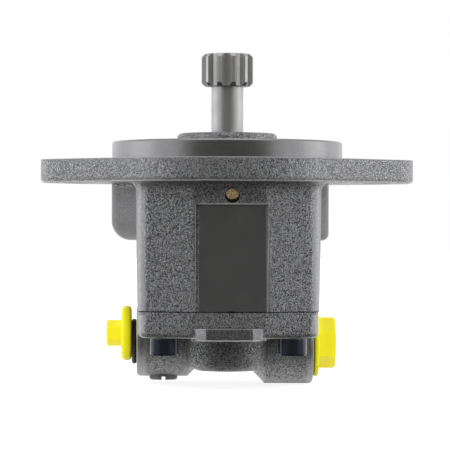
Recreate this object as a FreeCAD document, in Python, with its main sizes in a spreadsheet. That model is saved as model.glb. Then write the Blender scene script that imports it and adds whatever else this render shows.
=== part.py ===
"""Fuel transfer pump: external gear pump with a two-bolt flange, splined shaft and relief valve.

The origin is on the shaft axis at the flange's mounting face. +Z points out along the shaft, the two
flange ears lie on X, and the driven gear lies behind the drive gear on +Y. Lengths are millimetres.
"""
import FreeCAD, Part
import math
import os
import re
import Sketcher

# Driving dimensions: name, value, what it is
DIMENSIONS = [
    ("pilot_diameter", 82.55, "locating spigot on the mounting face"),
    ("pilot_height", 6.4, "how far the spigot stands out"),
    ("pilot_chamfer", 0.6, "lead-in on the spigot's rim"),
    ("nose_diameter", 35.8, "cast boss round the shaft"),
    ("nose_height", 3.1, "cast boss above the spigot"),
    ("nose_round", 1.6, "rounded rim of the cast boss"),
    ("flange_thickness", 8.4, "mounting flange"),
    ("pilot_land", 5.0, "least flat face round the spigot, radially"),
    ("flange_margin", 3.368, "flange beyond the block's front corners"),
    ("flange_rim_round", 1.6, "rounded lower rim of the flange"),
    ("ear_radius", 13.6, "flange round each bolt"),
    ("bolt_spacing", 106.4, "between the two flange bolts"),
    ("bolt_hole_diameter", 11.0, "flange bolt holes"),
    ("block_side_wall", 13.1, "cover seal's groove to the block's sides"),
    ("block_front_wall", 18.5, "cover seal's groove to the front land"),
    ("block_back_wall", 2.5, "cover seal's groove to the back face"),
    ("front_flank_depth", 9.0, "front corners behind the front land"),
    ("back_flank_depth", 9.5, "back corners in front of the back face"),
    ("block_split", 20.0, "shaft axis to where the narrower back of the block starts"),
    ("block_back_step", 0.8, "back of the block inside its sides"),
    ("land_half_width", 12.5, "flat land in the middle of the front"),
    ("back_half_width", 25.0, "flat part of the back face"),
    ("block_corner_round", 6.0, "upright corners of the block"),
    ("land_corner_round", 3.0, "upright edges beside the land"),
    ("block_to_flange_round", 3.2, "cast fillet under the flange"),
    ("draft_angle", 0.9, "casting draft, degrees"),
    ("collar_reach", 6.4, "rounded swelling beyond the block's sides"),
    ("collar_shift", 2.4, "collar's middle to the left of the shaft axis"),
    ("collar_front", 2.0, "collar's sides start in front of the shaft axis"),
    ("collar_root", 20.0, "collar's root inside the block, in front of the shaft axis"),
    ("collar_root_inset", 8.6, "collar's root inside the block's sides"),
    ("collar_side_back", 17.0, "where the collar's sides start to close"),
    ("collar_back", 40.0, "collar behind the shaft axis"),
    ("collar_back_half_width", 16.0, "collar's flat at the back"),
    ("collar_height", 20.4, "collar under the flange"),
    ("collar_corner_round", 9.0, "upright corners of the collar"),
    ("collar_left_round", 7.0, "rounded lower edge of the collar on the left"),
    ("collar_right_round", 2.4, "rounded lower edge of the collar on the right"),
    ("pad_width", 24.4, "milled pad on the front"),
    ("pad_centre", 0.6, "milled pad's middle, to the right of the axis"),
    ("pad_depth", 1.8, "how far the pad is milled in"),
    ("pad_top", 16.3, "mounting face to the pad's upper edge"),
    ("pad_slope", 1.1, "sloped flank at the pad's right side"),
    ("weep_drop", 13.1, "mounting face down to the weep hole"),
    ("weep_offset", 1.0, "weep hole to the right of the axis"),
    ("weep_diameter", 5.5, "mouth of the weep hole"),
    ("weep_mouth_depth", 3.4, "wide mouth of the weep hole"),
    ("weep_plug_diameter", 4.9, "sintered plug and its seat"),
    ("weep_plug_length", 5.0, "sintered plug"),
    ("weep_plug_recess", 1.2, "plug's face below the land"),
    ("neck_diameter", 11.5, "drive shaft and its journals"),
    ("spline_start", 26.4, "mounting face to the spline's lower end"),
    ("spline_length", 11.6, "splined end"),
    ("spline_diameter", 18.6, "over the spline's teeth"),
    ("spline_root_diameter", 15.4, "bottom of the spline's spaces"),
    ("spline_teeth", 11, "teeth of the spline"),
    ("spline_turn", 12.8, "degrees from the front to the next tooth on the right"),
    ("spline_space_at_root", 1.5, "width of a space at its bottom"),
    ("spline_space_at_tip", 3.1, "width of a space at the tips"),
    ("spline_chamfer", 1.2, "chamfer at both ends of the spline"),
    ("shaft_chamfer", 0.8, "chamfer at the shafts' inner ends"),
    ("nose_bore_diameter", 13.0, "mouth that the shaft comes out of"),
    ("nose_bore_chamfer", 0.8, "chamfer of that mouth"),
    ("seal_bore_top", 2.0, "mounting face down to the seal bore's shoulder"),
    ("seal_bore_diameter", 22.0, "shaft seals, and the bushes below them"),
    ("seal_height", 7.0, "each shaft seal"),
    ("seal_gap", 8.2, "space between the two seals"),
    ("seal_wall", 1.6, "outer wall of a shaft seal"),
    ("seal_lip_height", 1.4, "seal lip where it meets the shaft"),
    ("spacer_wall", 1.5, "ring that keeps the seals apart"),
    ("seal_ring_thickness", 1.0, "retaining ring under the inner seal"),
    ("seal_ring_depth", 1.0, "retaining ring's groove beyond the bore"),
    ("seal_ring_width", 2.6, "retaining ring, radially"),
    ("gear_module", 2.5, "tooth size of the pumping gears"),
    ("gear_teeth", 10, "teeth of each pumping gear"),
    ("gear_pressure_angle", 25.0, "degrees"),
    ("gear_width", 12.0, "face width of the pumping gears"),
    ("gear_backlash", 0.12, "taken off each tooth's thickness"),
    ("gear_side_clearance", 0.05, "each side of the gears"),
    ("gear_tip_clearance", 0.05, "gear tips to the chamber wall"),
    ("bush_length", 14.0, "bearing bushes"),
    ("bush_space", 2.2, "seals' retaining ring to the upper bush"),
    ("running_clearance", 0.03, "radial, shaft in bush and shaft in seal"),
    ("key_width", 3.0, "drive key"),
    ("key_length", 8.0, "drive key"),
    ("key_in_shaft", 1.7, "key's depth in the shaft"),
    ("key_in_gear", 1.3, "key's height in the gear"),
    ("gear_ring_thickness", 1.0, "retaining rings beside the drive gear"),
    ("gear_ring_radius", 7.5, "outside of those rings"),
    ("gear_ring_groove", 0.45, "groove depth in the shaft"),
    ("gear_recess_clearance", 0.4, "space round a ring in the gear's face"),
    ("port_pocket_reach", 10.5, "port pockets to each side of the mesh"),
    ("port_pocket_radius", 5.0, "port pockets beside the gears"),
    ("cover_thickness", 9.2, "cover plate"),
    ("cover_step", 1.2, "cover plate inside the block's outline"),
    ("cover_corner_round", 5.0, "upright corners of the cover plate"),
    ("cover_rim_round", 1.8, "lower rim of the cover plate"),
    ("hub_wall", 3.5, "oval hub round the bushes"),
    ("hub_floor", 8.0, "bottom of the hub under the bushes"),
    ("hub_round", 5.0, "rounded bottom of the hub"),
    ("rib_base_half_width", 13.0, "rib on the cover's front, at its foot"),
    ("rib_crest_half_width", 8.0, "rib on the cover's front, at its crest"),
    ("rib_height", 4.6, "rib beyond the cover plate's front"),
    ("rib_top", 5.6, "cover joint down to the rib"),
    ("rib_bottom", 9.9, "cover joint down to the rib's underside"),
    ("left_port_drop", 9.1, "cover joint down to the left port"),
    ("left_boss_radius", 15.6, "left port boss"),
    ("left_boss_inset", 0.2, "left boss's face inside the block's side"),
    ("right_port_drop", 12.5, "cover joint down to the right port"),
    ("right_boss_radius", 14.7, "right port boss"),
    ("right_boss_inset", 1.2, "right boss's face inside the block's side"),
    ("boss_inner_end", 9.0, "bosses stop this far from the shaft axis"),
    ("boss_inner_slope", 5.0, "sloped inner end of the bosses"),
    ("boss_face_round", 1.2, "rounded rim of the bosses' faces"),
    ("left_thread_radius", 6.25, "left port thread"),
    ("left_thread_depth", 8.4, "left port thread"),
    ("left_passage_radius", 4.5, "passage behind the left thread"),
    ("left_passage_end", 9.5, "passage stops this far from the shaft axis"),
    ("right_thread_radius", 8.85, "right port thread"),
    ("right_thread_depth", 10.4, "right port thread"),
    ("right_passage_radius", 5.6, "passage behind the right thread"),
    ("right_passage_end", 11.0, "passage stops this far from the shaft axis"),
    ("riser_radius", 4.0, "upright passages to the gear chamber"),
    ("riser_inset", 0.6, "riser's wall to the blind end of its passage"),
    ("right_seat_radius", 10.9, "recess for the right plug's ring"),
    ("right_seat_depth", 1.25, "recess for the right plug's ring"),
    ("screw_side_inset", 10.3, "cover screws inside the block's sides"),
    ("screw_front_inset", 11.0, "front cover screws behind the front land"),
    ("screw_back_inset", 8.5, "back cover screws in front of the back face"),
    ("screw_diameter", 6.0, "cover screws"),
    ("screw_hole_clearance", 0.3, "radial, in the cover plate"),
    ("screw_head_diameter", 10.0, "cover screws"),
    ("screw_head_height", 6.0, "cover screws"),
    ("screw_head_chamfer", 0.5, "cover screws"),
    ("screw_grip", 14.0, "screw length inside the housing"),
    ("screw_hole_spare", 3.0, "hole beyond the screw's end"),
    ("socket_across_flats", 5.0, "cover screws' hexagon socket"),
    ("socket_depth", 3.0, "cover screws' hexagon socket"),
    ("dowel_diameter", 5.0, "locating dowels"),
    ("dowel_length", 12.0, "locating dowels"),
    ("dowel_side_inset", 6.6, "dowels inside the block's sides"),
    ("dowel_front", 12.0, "left dowel in front of the shaft axis"),
    ("dowel_back", 28.0, "right dowel behind the shaft axis"),
    ("dowel_hole_spare", 1.0, "dowel holes beyond the dowels"),
    ("seal_groove_wall", 1.9, "gear tips to the cover seal's groove"),
    ("seal_groove_width", 2.6, "cover seal's groove"),
    ("seal_groove_depth", 1.8, "cover seal's groove"),
    ("seal_groove_clearance", 0.15, "cover seal to each wall"),
    ("relief_inset", 9.7, "relief valve inside the left boss's face"),
    ("relief_web", 1.5, "metal between the left passage and the valve chamber"),
    ("relief_orifice_radius", 2.5, "relief valve's seat"),
    ("relief_chamber_radius", 4.1, "relief valve's guide bore"),
    ("relief_thread_radius", 5.1, "relief plug"),
    ("relief_thread_length", 3.2, "relief plug's thread inside the boss"),
    ("relief_plug_stand_out", 1.2, "relief plug below the boss"),
    ("relief_plug_cup_radius", 3.7, "spring's seat in the plug"),
    ("relief_plug_cup_floor", 2.2, "bottom of the plug"),
    ("relief_slot_width", 1.3, "screwdriver slot"),
    ("relief_slot_depth", 1.2, "screwdriver slot"),
    ("relief_chamfer", 0.4, "relief plug's lower rim"),
    ("relief_stroke", 1.5, "poppet's travel"),
    ("poppet_nose_height", 2.2, "cone on top of the poppet"),
    ("poppet_waist_radius", 3.0, "poppet between nose and skirt"),
    ("poppet_waist_height", 1.6, "poppet between nose and skirt"),
    ("poppet_skirt_height", 1.5, "guided end of the poppet"),
    ("poppet_clearance", 0.05, "poppet in its guide bore"),
    ("spring_wire_radius", 0.35, "relief spring"),
    ("spring_radius", 3.0, "relief spring, middle of the wire"),
    ("spring_turns", 3.0, "relief spring"),
    ("bypass_radius", 1.25, "drilling from the relief valve to the right port"),
    ("left_plug_clearance", 0.1, "left plug in its thread"),
    ("left_plug_grip", 6.6, "left plug inside the port"),
    ("left_neck_radius", 3.4, "thin neck behind the left plug's flange"),
    ("left_neck_length", 1.9, "boss face to the left plug's flange"),
    ("left_flange_radius", 9.95, "left plug"),
    ("left_flange_thickness", 3.7, "left plug"),
    ("left_flange_round", 1.6, "left plug"),
    ("left_knob_radius", 4.8, "left plug's hexagon over its corners"),
    ("left_knob_length", 5.4, "left plug's hexagon"),
    ("knob_chamfer", 0.6, "outer end of the plugs' hexagons"),
    ("left_ring_radius", 7.35, "left sealing ring, middle of its section"),
    ("ring_section_radius", 0.9, "left sealing ring"),
    ("ring_hang_gap", 0.05, "left ring above the plug's neck"),
    ("right_plug_clearance", 0.1, "right plug in its thread"),
    ("right_plug_grip", 9.0, "right plug inside the port"),
    ("right_flange_gap", 0.4, "boss face to the right plug's flange"),
    ("right_flange_radius", 12.2, "right plug"),
    ("right_flange_thickness", 1.7, "right plug"),
    ("right_flange_round", 0.7, "right plug"),
    ("right_head_radius", 9.3, "right plug's hexagon over its corners"),
    ("right_head_length", 6.2, "right plug's hexagon"),
    ("right_head_chamfer", 0.8, "outer end of the right plug's hexagon"),
    ("right_ring_radius", 9.9, "right sealing ring, middle of its section"),
    ("right_ring_section_radius", 0.75, "right sealing ring"),
    ("ring_side_gap", 0.05, "rings to the faces beside them"),
    ("cut_margin", 1.0, "how far a cut runs past the face it opens through"),
]

# Places that follow from the driving dimensions, as formulas of their names
DERIVED = {
    "gear_distance": "(gear_module * gear_teeth)",
    "mesh_line": "(gear_module * gear_teeth / 2)",
    "gear_tip_radius": "(gear_module * (gear_teeth / 2 + 1))",
    "neck_radius": "(neck_diameter / 2)",
    "seal_radius": "(seal_bore_diameter / 2)",
    "flange_under": "(-flange_thickness)",
    "nose_top": "(pilot_height + nose_height)",
    "spline_end": "(spline_start + spline_length)",
    "hub_radius": "(seal_radius + hub_wall)",
    "seal_groove_radius": "(gear_tip_radius + seal_groove_wall)",
    "seal_groove_reach": "(seal_groove_radius + seal_groove_width)",
    "block_half_width": "(seal_groove_reach + block_side_wall)",
    "block_front": "(seal_groove_reach + block_front_wall)",
    "block_back": "(gear_distance + seal_groove_reach + block_back_wall)",
    "block_shoulder_front": "(block_front - front_flank_depth)",
    "block_corner_reach": "sqrt(block_half_width ^ 2 + block_shoulder_front ^ 2)",
    "flange_waist_radius": "max(pilot_diameter / 2 + pilot_land; block_corner_reach + flange_margin)",
    "block_shoulder_back": "(block_back - back_flank_depth)",
    "collar_half_width": "(block_half_width + collar_reach)",
    "collar_root_half_width": "(block_half_width - collar_root_inset)",
    "outer_seal_top": "(-seal_bore_top)",
    "inner_seal_top": "(outer_seal_top - seal_height - seal_gap)",
    "seal_ring_top": "(inner_seal_top - seal_height)",
    "chamber_roof": "(seal_ring_top - seal_ring_thickness - bush_space - bush_length)",
    "joint_face": "(chamber_roof - gear_width - 2 * gear_side_clearance)",
    "block_height": "(flange_under - joint_face)",
    "cover_under": "(joint_face - cover_thickness)",
    "bush_floor": "(joint_face - bush_length)",
    "hub_bottom": "(bush_floor - hub_floor)",
    "left_port_z": "(joint_face - left_port_drop)",
    "right_port_z": "(joint_face - right_port_drop)",
    "left_boss_reach": "(block_half_width - left_boss_inset)",
    "right_boss_reach": "(block_half_width - right_boss_inset)",
    "left_boss_bottom": "(left_port_z - left_boss_radius)",
    "screw_x": "(block_half_width - screw_side_inset)",
    "screw_front": "(block_front - screw_front_inset)",
    "screw_back": "(block_back - screw_back_inset)",
    "dowel_x": "(block_half_width - dowel_side_inset)",
    "relief_x": "(left_boss_reach - relief_inset)",
    "valve_seat": "(left_port_z - left_passage_radius - relief_web)",
    "relief_plug_bottom": "(left_boss_bottom - relief_plug_stand_out)",
    "weep_land": "(block_front - weep_plug_recess)",
}

doc = FreeCAD.newDocument("FuelTransferPump")
sheet = doc.addObject("Spreadsheet::Sheet", "Sizes")
NAMES = {}


def fill_sheet():
    """Write the driving dimensions to the sheet, one row each."""
    for row, (name, value, note) in enumerate(DIMENSIONS, start=1):
        sheet.set("A%d" % row, name)
        sheet.set("B%d" % row, str(value))
        sheet.set("C%d" % row, note)
        sheet.setAlias("B%d" % row, name)
        NAMES[name] = "Sizes." + name
    for name, formula in DERIVED.items():
        NAMES[name] = re.sub(r"[a-z_]+", lambda word: NAMES.get(word.group(), word.group()), formula)
    doc.recompute()


def formula(text):
    """An expression of the document from one written with the plain names of the sizes."""
    return re.sub(r"[a-z_]{3,}", lambda word: NAMES.get(word.group(), word.group()), text)


def value(text):
    """The number that a formula of the sizes gives."""
    result = sheet.evalExpression(formula(text))
    return float(getattr(result, "Value", result))


# Sketches

def origin_plane(body, role):
    return next(item for item in body.Origin.OriginFeatures if item.Role == role)


def new_body(label):
    body = doc.addObject("PartDesign::Body", label)
    body.Label = label
    return body


def new_sketch(body, name, role, offset="0"):
    """A sketch on one of the body's own origin planes, moved along the plane's normal."""
    sketch = body.newObject("Sketcher::SketchObject", name)
    sketch.AttachmentSupport = [(origin_plane(body, role), "")]
    sketch.MapMode = "FlatFace"
    if offset != "0":
        sketch.setExpression("AttachmentOffset.Base.z", formula(offset))
    return sketch


def bind(sketch, kind, geometry, point, text):
    """Tie one coordinate of a sketch point to a formula of the sizes."""
    number = value(text)
    if abs(number) < 1e-9 and kind == "DistanceX":
        sketch.addConstraint(Sketcher.Constraint("PointOnObject", geometry, point, -2))
    elif abs(number) < 1e-9:
        sketch.addConstraint(Sketcher.Constraint("PointOnObject", geometry, point, -1))
    else:
        index = sketch.addConstraint(Sketcher.Constraint(kind, -1, 1, geometry, point, number))
        sketch.setExpression("Constraints[%d]" % index, formula(text))


def draw_polygon(sketch, corners):
    """A closed outline of straight lines through corners given as pairs of formulas."""
    first = sketch.GeometryCount
    points = [FreeCAD.Vector(value(x), value(y), 0) for x, y in corners]
    count = len(points)
    for index, start in enumerate(points):
        sketch.addGeometry(Part.LineSegment(start, points[(index + 1) % count]), False)
    for index in range(count):
        following = first + (index + 1) % count
        sketch.addConstraint(Sketcher.Constraint("Coincident", first + index, 2, following, 1))
    for index, (x, y) in enumerate(corners):
        bind(sketch, "DistanceX", first + index, 1, x)
        bind(sketch, "DistanceY", first + index, 1, y)


def draw_circle(sketch, x, y, radius):
    centre = FreeCAD.Vector(value(x), value(y), 0)
    index = sketch.addGeometry(Part.Circle(centre, FreeCAD.Vector(0, 0, 1), value(radius)), False)
    bind(sketch, "DistanceX", index, 3, x)
    bind(sketch, "DistanceY", index, 3, y)
    size = sketch.addConstraint(Sketcher.Constraint("Radius", index, value(radius)))
    sketch.setExpression("Constraints[%d]" % size, formula(radius))


def draw_stadium(sketch, radius, low, high, along="y", level="0"):
    """Two half circles of one radius joined by straight sides, from low to high along one axis."""
    first = sketch.GeometryCount
    size, start, end, side = value(radius), value(low), value(high), value(level)
    turn = math.pi if along == "y" else math.pi / 2

    def place(distance, offset):
        pair = (side + offset, distance) if along == "y" else (distance, side + offset)
        return FreeCAD.Vector(pair[0], pair[1], 0)

    for centre, angle in ((start, turn), (end, turn + math.pi)):
        circle = Part.Circle(place(centre, 0), FreeCAD.Vector(0, 0, 1), size)
        sketch.addGeometry(Part.ArcOfCircle(circle, angle, angle + math.pi), False)
    ends = {}
    for arc in (first, first + 1):
        for point in (1, 2):
            ends[(arc, point)] = sketch.getPoint(arc, point)
    sketch.addGeometry(Part.LineSegment(ends[(first, 2)], ends[(first + 1, 1)]), False)
    sketch.addGeometry(Part.LineSegment(ends[(first + 1, 2)], ends[(first, 1)]), False)
    joins = ((first, 2, first + 2, 1), (first + 2, 2, first + 1, 1),
             (first + 1, 2, first + 3, 1), (first + 3, 2, first, 1))
    for join in joins:
        sketch.addConstraint(Sketcher.Constraint("Tangent", *join))
    sketch.addConstraint(Sketcher.Constraint("Equal", first, first + 1))
    index = sketch.addConstraint(Sketcher.Constraint("Radius", first, size))
    sketch.setExpression("Constraints[%d]" % index, formula(radius))
    across, lengthwise = ("DistanceX", "DistanceY") if along == "y" else ("DistanceY", "DistanceX")
    for arc, centre in ((first, low), (first + 1, high)):
        bind(sketch, across, arc, 3, level)
        bind(sketch, lengthwise, arc, 3, centre)


# Features

def add_pad(body, name, sketch, length, up=True):
    pad = body.newObject("PartDesign::Pad", name)
    pad.Profile = sketch
    pad.setExpression("Length", formula(length))
    pad.Reversed = not up
    finish_feature(body, pad)
    return pad


def add_pocket(body, name, sketch, length, up=False):
    """Cut a sketch into the body, against its normal or, with up, along it."""
    before = body.Shape.Volume
    pocket = body.newObject("PartDesign::Pocket", name)
    pocket.Profile = sketch
    pocket.setExpression("Length", formula(length))
    pocket.Reversed = up
    finish_feature(body, pocket)
    if body.Shape.Volume > before - 1e-6:
        raise RuntimeError("pocket %s of %s removes nothing" % (name, body.Label))
    return pocket


def add_turned(body, name, sketch, kind="PartDesign::Revolution"):
    turned = body.newObject(kind, name)
    turned.Profile = sketch
    turned.ReferenceAxis = (sketch, ["V_Axis"])
    turned.Angle = 360
    finish_feature(body, turned)
    return turned


def finish_feature(body, feature):
    """Make a new feature the body's result and stop at once if it failed."""
    body.Tip = feature
    doc.recompute()
    if "Invalid" in feature.State or "Error" in feature.State or feature.Shape.isNull():
        raise RuntimeError("%s of %s failed" % (feature.Name, body.Label))


def add_fillet(body, name, picks, radius, kind="PartDesign::Fillet"):
    """Round (or chamfer) the edges of the body's present result for which picks says yes."""
    base = body.Tip
    edges = ["Edge%d" % (number + 1) for number, edge in enumerate(base.Shape.Edges) if picks(edge)]
    if not edges:
        raise RuntimeError("%s of %s finds no edge" % (name, body.Label))
    dress = body.newObject(kind, name)
    dress.Base = (base, edges)
    size = "Radius" if kind == "PartDesign::Fillet" else "Size"
    dress.setExpression(size, formula(radius))
    finish_feature(body, dress)
    return dress


def add_draft(body, name, picks, angle):
    """Lean the side faces for which picks says yes inwards, away from the mounting face."""
    base = body.Tip
    faces = ["Face%d" % (number + 1) for number, face in enumerate(base.Shape.Faces) if picks(face)]
    draft = body.newObject("PartDesign::Draft", name)
    draft.Base = (base, faces)
    draft.NeutralPlane = (origin_plane(body, "XY_Plane"), [""])
    draft.Reversed = True
    draft.setExpression("Angle", formula(angle))
    finish_feature(body, draft)


def near(first, second, margin=0.05):
    return abs(first - second) < margin


def upright(edge):
    """Whether a straight edge runs mostly along Z, as the corners of a drafted block do."""
    run = edge.valueAt(edge.LastParameter) - edge.valueAt(edge.FirstParameter)
    return near(run.Length, edge.Length, 1e-4) and abs(run.z) > 0.95 * edge.Length


def level_edge(edge, height):
    """Whether the whole edge lies at one height."""
    box = edge.BoundBox
    return near(box.ZMin, height, 0.01) and near(box.ZMax, height, 0.01)


def middle(edge):
    return edge.valueAt((edge.FirstParameter + edge.LastParameter) / 2)


def turned_piece(label, corners, place=None):
    """A round piece from half its section, as radius and height, on its own upright axis."""
    body = new_body(label)
    sketch = new_sketch(body, label + "_section", "XZ_Plane")
    draw_polygon(sketch, corners)
    add_turned(body, label + "_turned", sketch)
    if place:
        for axis, text in zip("xyz", place):
            body.setExpression("Placement.Base." + axis, formula(text))
    return body


# Housing

def block_front_corners(step):
    """Front of the plan of the cast block, from left to right: flank, land and flank."""
    side = "(block_half_width - %s)" % step
    land = "(-block_front + %s)" % step
    return [("-" + side, "-block_shoulder_front"), ("-land_half_width", land),
            ("land_half_width", land), (side, "-block_shoulder_front")]


def add_flange(body):
    """Flange, the hull of a round waist and two round ears, with the pilot and cast nose on it."""
    waist = new_sketch(body, "waist_outline", "XY_Plane", "flange_under")
    draw_circle(waist, "0", "0", "flange_waist_radius")
    add_pad(body, "waist", waist, "flange_thickness")
    ears = new_sketch(body, "ear_outlines", "XY_Plane", "flange_under")
    draw_circle(ears, "bolt_spacing / 2", "0", "ear_radius")
    draw_circle(ears, "-bolt_spacing / 2", "0", "ear_radius")
    add_pad(body, "ears", ears, "flange_thickness")
    lean = "acos((flange_waist_radius - ear_radius) / (bolt_spacing / 2))"
    waist_x = "flange_waist_radius * cos(%s)" % lean
    waist_y = "flange_waist_radius * sin(%s)" % lean
    ear_x = "(bolt_spacing / 2 + ear_radius * cos(%s))" % lean
    ear_y = "ear_radius * sin(%s)" % lean
    web = new_sketch(body, "web_outline", "XY_Plane", "flange_under")
    draw_polygon(web, [("-" + ear_x, "-" + ear_y), ("-" + waist_x, "-" + waist_y),
                       (waist_x, "-" + waist_y), (ear_x, "-" + ear_y), (ear_x, ear_y),
                       (waist_x, waist_y), ("-" + waist_x, waist_y), ("-" + ear_x, ear_y)])
    add_pad(body, "web", web, "flange_thickness")
    under = value("flange_under")
    add_fillet(body, "flange_rim", lambda edge: level_edge(edge, under), "flange_rim_round")
    pilot = new_sketch(body, "pilot_outline", "XY_Plane")
    draw_circle(pilot, "0", "0", "pilot_diameter / 2")
    add_pad(body, "pilot", pilot, "pilot_height")
    rim = value("pilot_height")
    add_fillet(body, "pilot_lead_in", lambda edge: level_edge(edge, rim), "pilot_chamfer",
               "PartDesign::Chamfer")
    nose = new_sketch(body, "nose_outline", "XY_Plane", "pilot_height")
    draw_circle(nose, "0", "0", "nose_diameter / 2")
    add_pad(body, "nose", nose, "nose_height")
    top = value("nose_top")
    add_fillet(body, "nose_rim", lambda edge: level_edge(edge, top), "nose_round")


def add_front_block(body):
    """Drafted front of the block with rounded corners and a cast fillet under the flange."""
    plan = new_sketch(body, "front_block_plan", "XY_Plane", "flange_under")
    draw_polygon(plan, block_front_corners("0") + [("block_half_width", "block_split"),
                                                   ("-block_half_width", "block_split")])
    add_pad(body, "front_block", plan, "block_height", up=False)
    land = value("land_half_width")
    floor = value("joint_face")
    front = -value("block_front")
    split = value("block_split")

    def is_corner(edge):
        place = middle(edge)
        return upright(edge) and near(edge.BoundBox.ZMin, floor) and place.y < split - 1 \
            and abs(place.x) > land + 5

    def is_land_edge(edge):
        return upright(edge) and near(edge.BoundBox.ZMin, floor) and near(middle(edge).y, front, 2)

    def is_side(face):
        box = face.BoundBox
        return near(box.ZMin, floor) and not near(box.ZMax, floor) and box.YMin < split - 1

    add_fillet(body, "block_corners", is_corner, "block_corner_round")
    add_fillet(body, "land_corners", is_land_edge, "land_corner_round")
    add_draft(body, "block_draft", is_side, "draft_angle")
    under = value("flange_under")
    reach = value("block_half_width")

    def is_foot(edge):
        place = middle(edge)
        return level_edge(edge, under) and abs(place.x) < reach and front - 1 < place.y < split - 1

    add_fillet(body, "block_foot", is_foot, "block_to_flange_round")


def add_back_block(body):
    """Back of the block, a little narrower, which reaches past the flange behind."""
    plan = new_sketch(body, "back_block_plan", "XY_Plane", "flange_under")
    side = "(block_half_width - block_back_step)"
    draw_polygon(plan, [("-" + side, "block_split - cut_margin"), (side, "block_split - cut_margin"),
                        (side, "block_shoulder_back"), ("back_half_width", "block_back"),
                        ("-back_half_width", "block_back"), ("-" + side, "block_shoulder_back")])
    add_pad(body, "back_block", plan, "block_height", up=False)
    floor, split = value("joint_face"), value("block_split")

    def is_corner(edge):
        return upright(edge) and near(edge.BoundBox.ZMin, floor) and middle(edge).y > split + 5

    add_fillet(body, "back_corners", is_corner, "block_corner_round")


def add_collar(body):
    """Swelling of the casting behind the block's shoulders, rounded off below."""
    plan = new_sketch(body, "collar_plan", "XY_Plane", "flange_under")
    half, root = "collar_half_width", "collar_root_half_width"
    back = "collar_back_half_width"
    draw_polygon(plan, [("-%s - collar_shift" % root, "-collar_root"),
                        ("%s - collar_shift" % root, "-collar_root"),
                        ("%s - collar_shift" % half, "-collar_front"),
                        ("%s - collar_shift" % half, "collar_side_back"),
                        ("%s - collar_shift" % back, "collar_back"),
                        ("-%s - collar_shift" % back, "collar_back"),
                        ("-%s - collar_shift" % half, "collar_side_back"),
                        ("-%s - collar_shift" % half, "-collar_front")])
    add_pad(body, "collar", plan, "collar_height", up=False)
    low = value("flange_under - collar_height")
    wide, shift = value("collar_half_width"), value("collar_shift")

    def is_corner(edge):
        place = middle(edge)
        return upright(edge) and near(edge.BoundBox.ZMin, low) and near(abs(place.x + shift), wide)

    def is_left_rim(edge):
        return level_edge(edge, low) and middle(edge).x < -value("block_half_width")

    def is_right_rim(edge):
        return level_edge(edge, low) and middle(edge).x > value("block_half_width")

    add_fillet(body, "collar_corners", is_corner, "collar_corner_round")
    add_fillet(body, "collar_left_rim", is_left_rim, "collar_left_round")
    add_fillet(body, "collar_right_rim", is_right_rim, "collar_right_round")


def bore_shaft_line(body):
    """Stepped bore on the shaft axis: nose mouth, seal bore with its ring groove, bush bore."""
    bore = new_sketch(body, "shaft_bore_section", "XZ_Plane")
    mouth = "nose_bore_diameter / 2"
    ring_low = "seal_ring_top - seal_ring_thickness"
    draw_polygon(bore, [("0", "nose_top + cut_margin"),
                        (mouth + " + nose_bore_chamfer + cut_margin", "nose_top + cut_margin"),
                        (mouth, "nose_top - nose_bore_chamfer"),
                        (mouth, "outer_seal_top"), ("seal_radius", "outer_seal_top"),
                        ("seal_radius", "seal_ring_top"),
                        ("seal_radius + seal_ring_depth", "seal_ring_top"),
                        ("seal_radius + seal_ring_depth", ring_low), ("seal_radius", ring_low),
                        ("seal_radius", "joint_face - cut_margin"), ("0", "joint_face - cut_margin")])
    add_turned(body, "shaft_bore", bore, "PartDesign::Groove")
    blind = new_sketch(body, "driven_bore_outline", "XY_Plane", "joint_face")
    draw_circle(blind, "0", "gear_distance", "seal_radius")
    add_pocket(body, "driven_bore", blind, "chamber_roof + bush_length - joint_face", up=True)


def cut_gear_chamber(body):
    """Two overlapping gear bores and the port pockets beside their mesh, open at the cover joint."""
    depth = "chamber_roof - joint_face"
    for name, line in (("drive", "0"), ("driven", "gear_distance")):
        outline = new_sketch(body, name + "_chamber_outline", "XY_Plane", "joint_face")
        draw_circle(outline, "0", line, "gear_tip_radius + gear_tip_clearance")
        add_pocket(body, name + "_chamber", outline, depth, up=True)
    pockets = new_sketch(body, "port_pocket_outline", "XY_Plane", "joint_face")
    draw_stadium(pockets, "port_pocket_radius", "-port_pocket_reach", "port_pocket_reach", "x",
                 "mesh_line")
    add_pocket(body, "port_pockets", pockets, depth, up=True)
    groove = new_sketch(body, "seal_groove_outline", "XY_Plane", "joint_face")
    draw_stadium(groove, "seal_groove_radius", "0", "gear_distance")
    draw_stadium(groove, "seal_groove_reach", "0", "gear_distance")
    add_pocket(body, "seal_groove", groove, "seal_groove_depth", up=True)


def screw_places():
    return [("-screw_x", "-screw_front"), ("screw_x", "-screw_front"),
            ("-screw_x", "screw_back"), ("screw_x", "screw_back")]


def dowel_places():
    return [("-dowel_x", "-dowel_front"), ("dowel_x", "dowel_back")]


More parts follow.
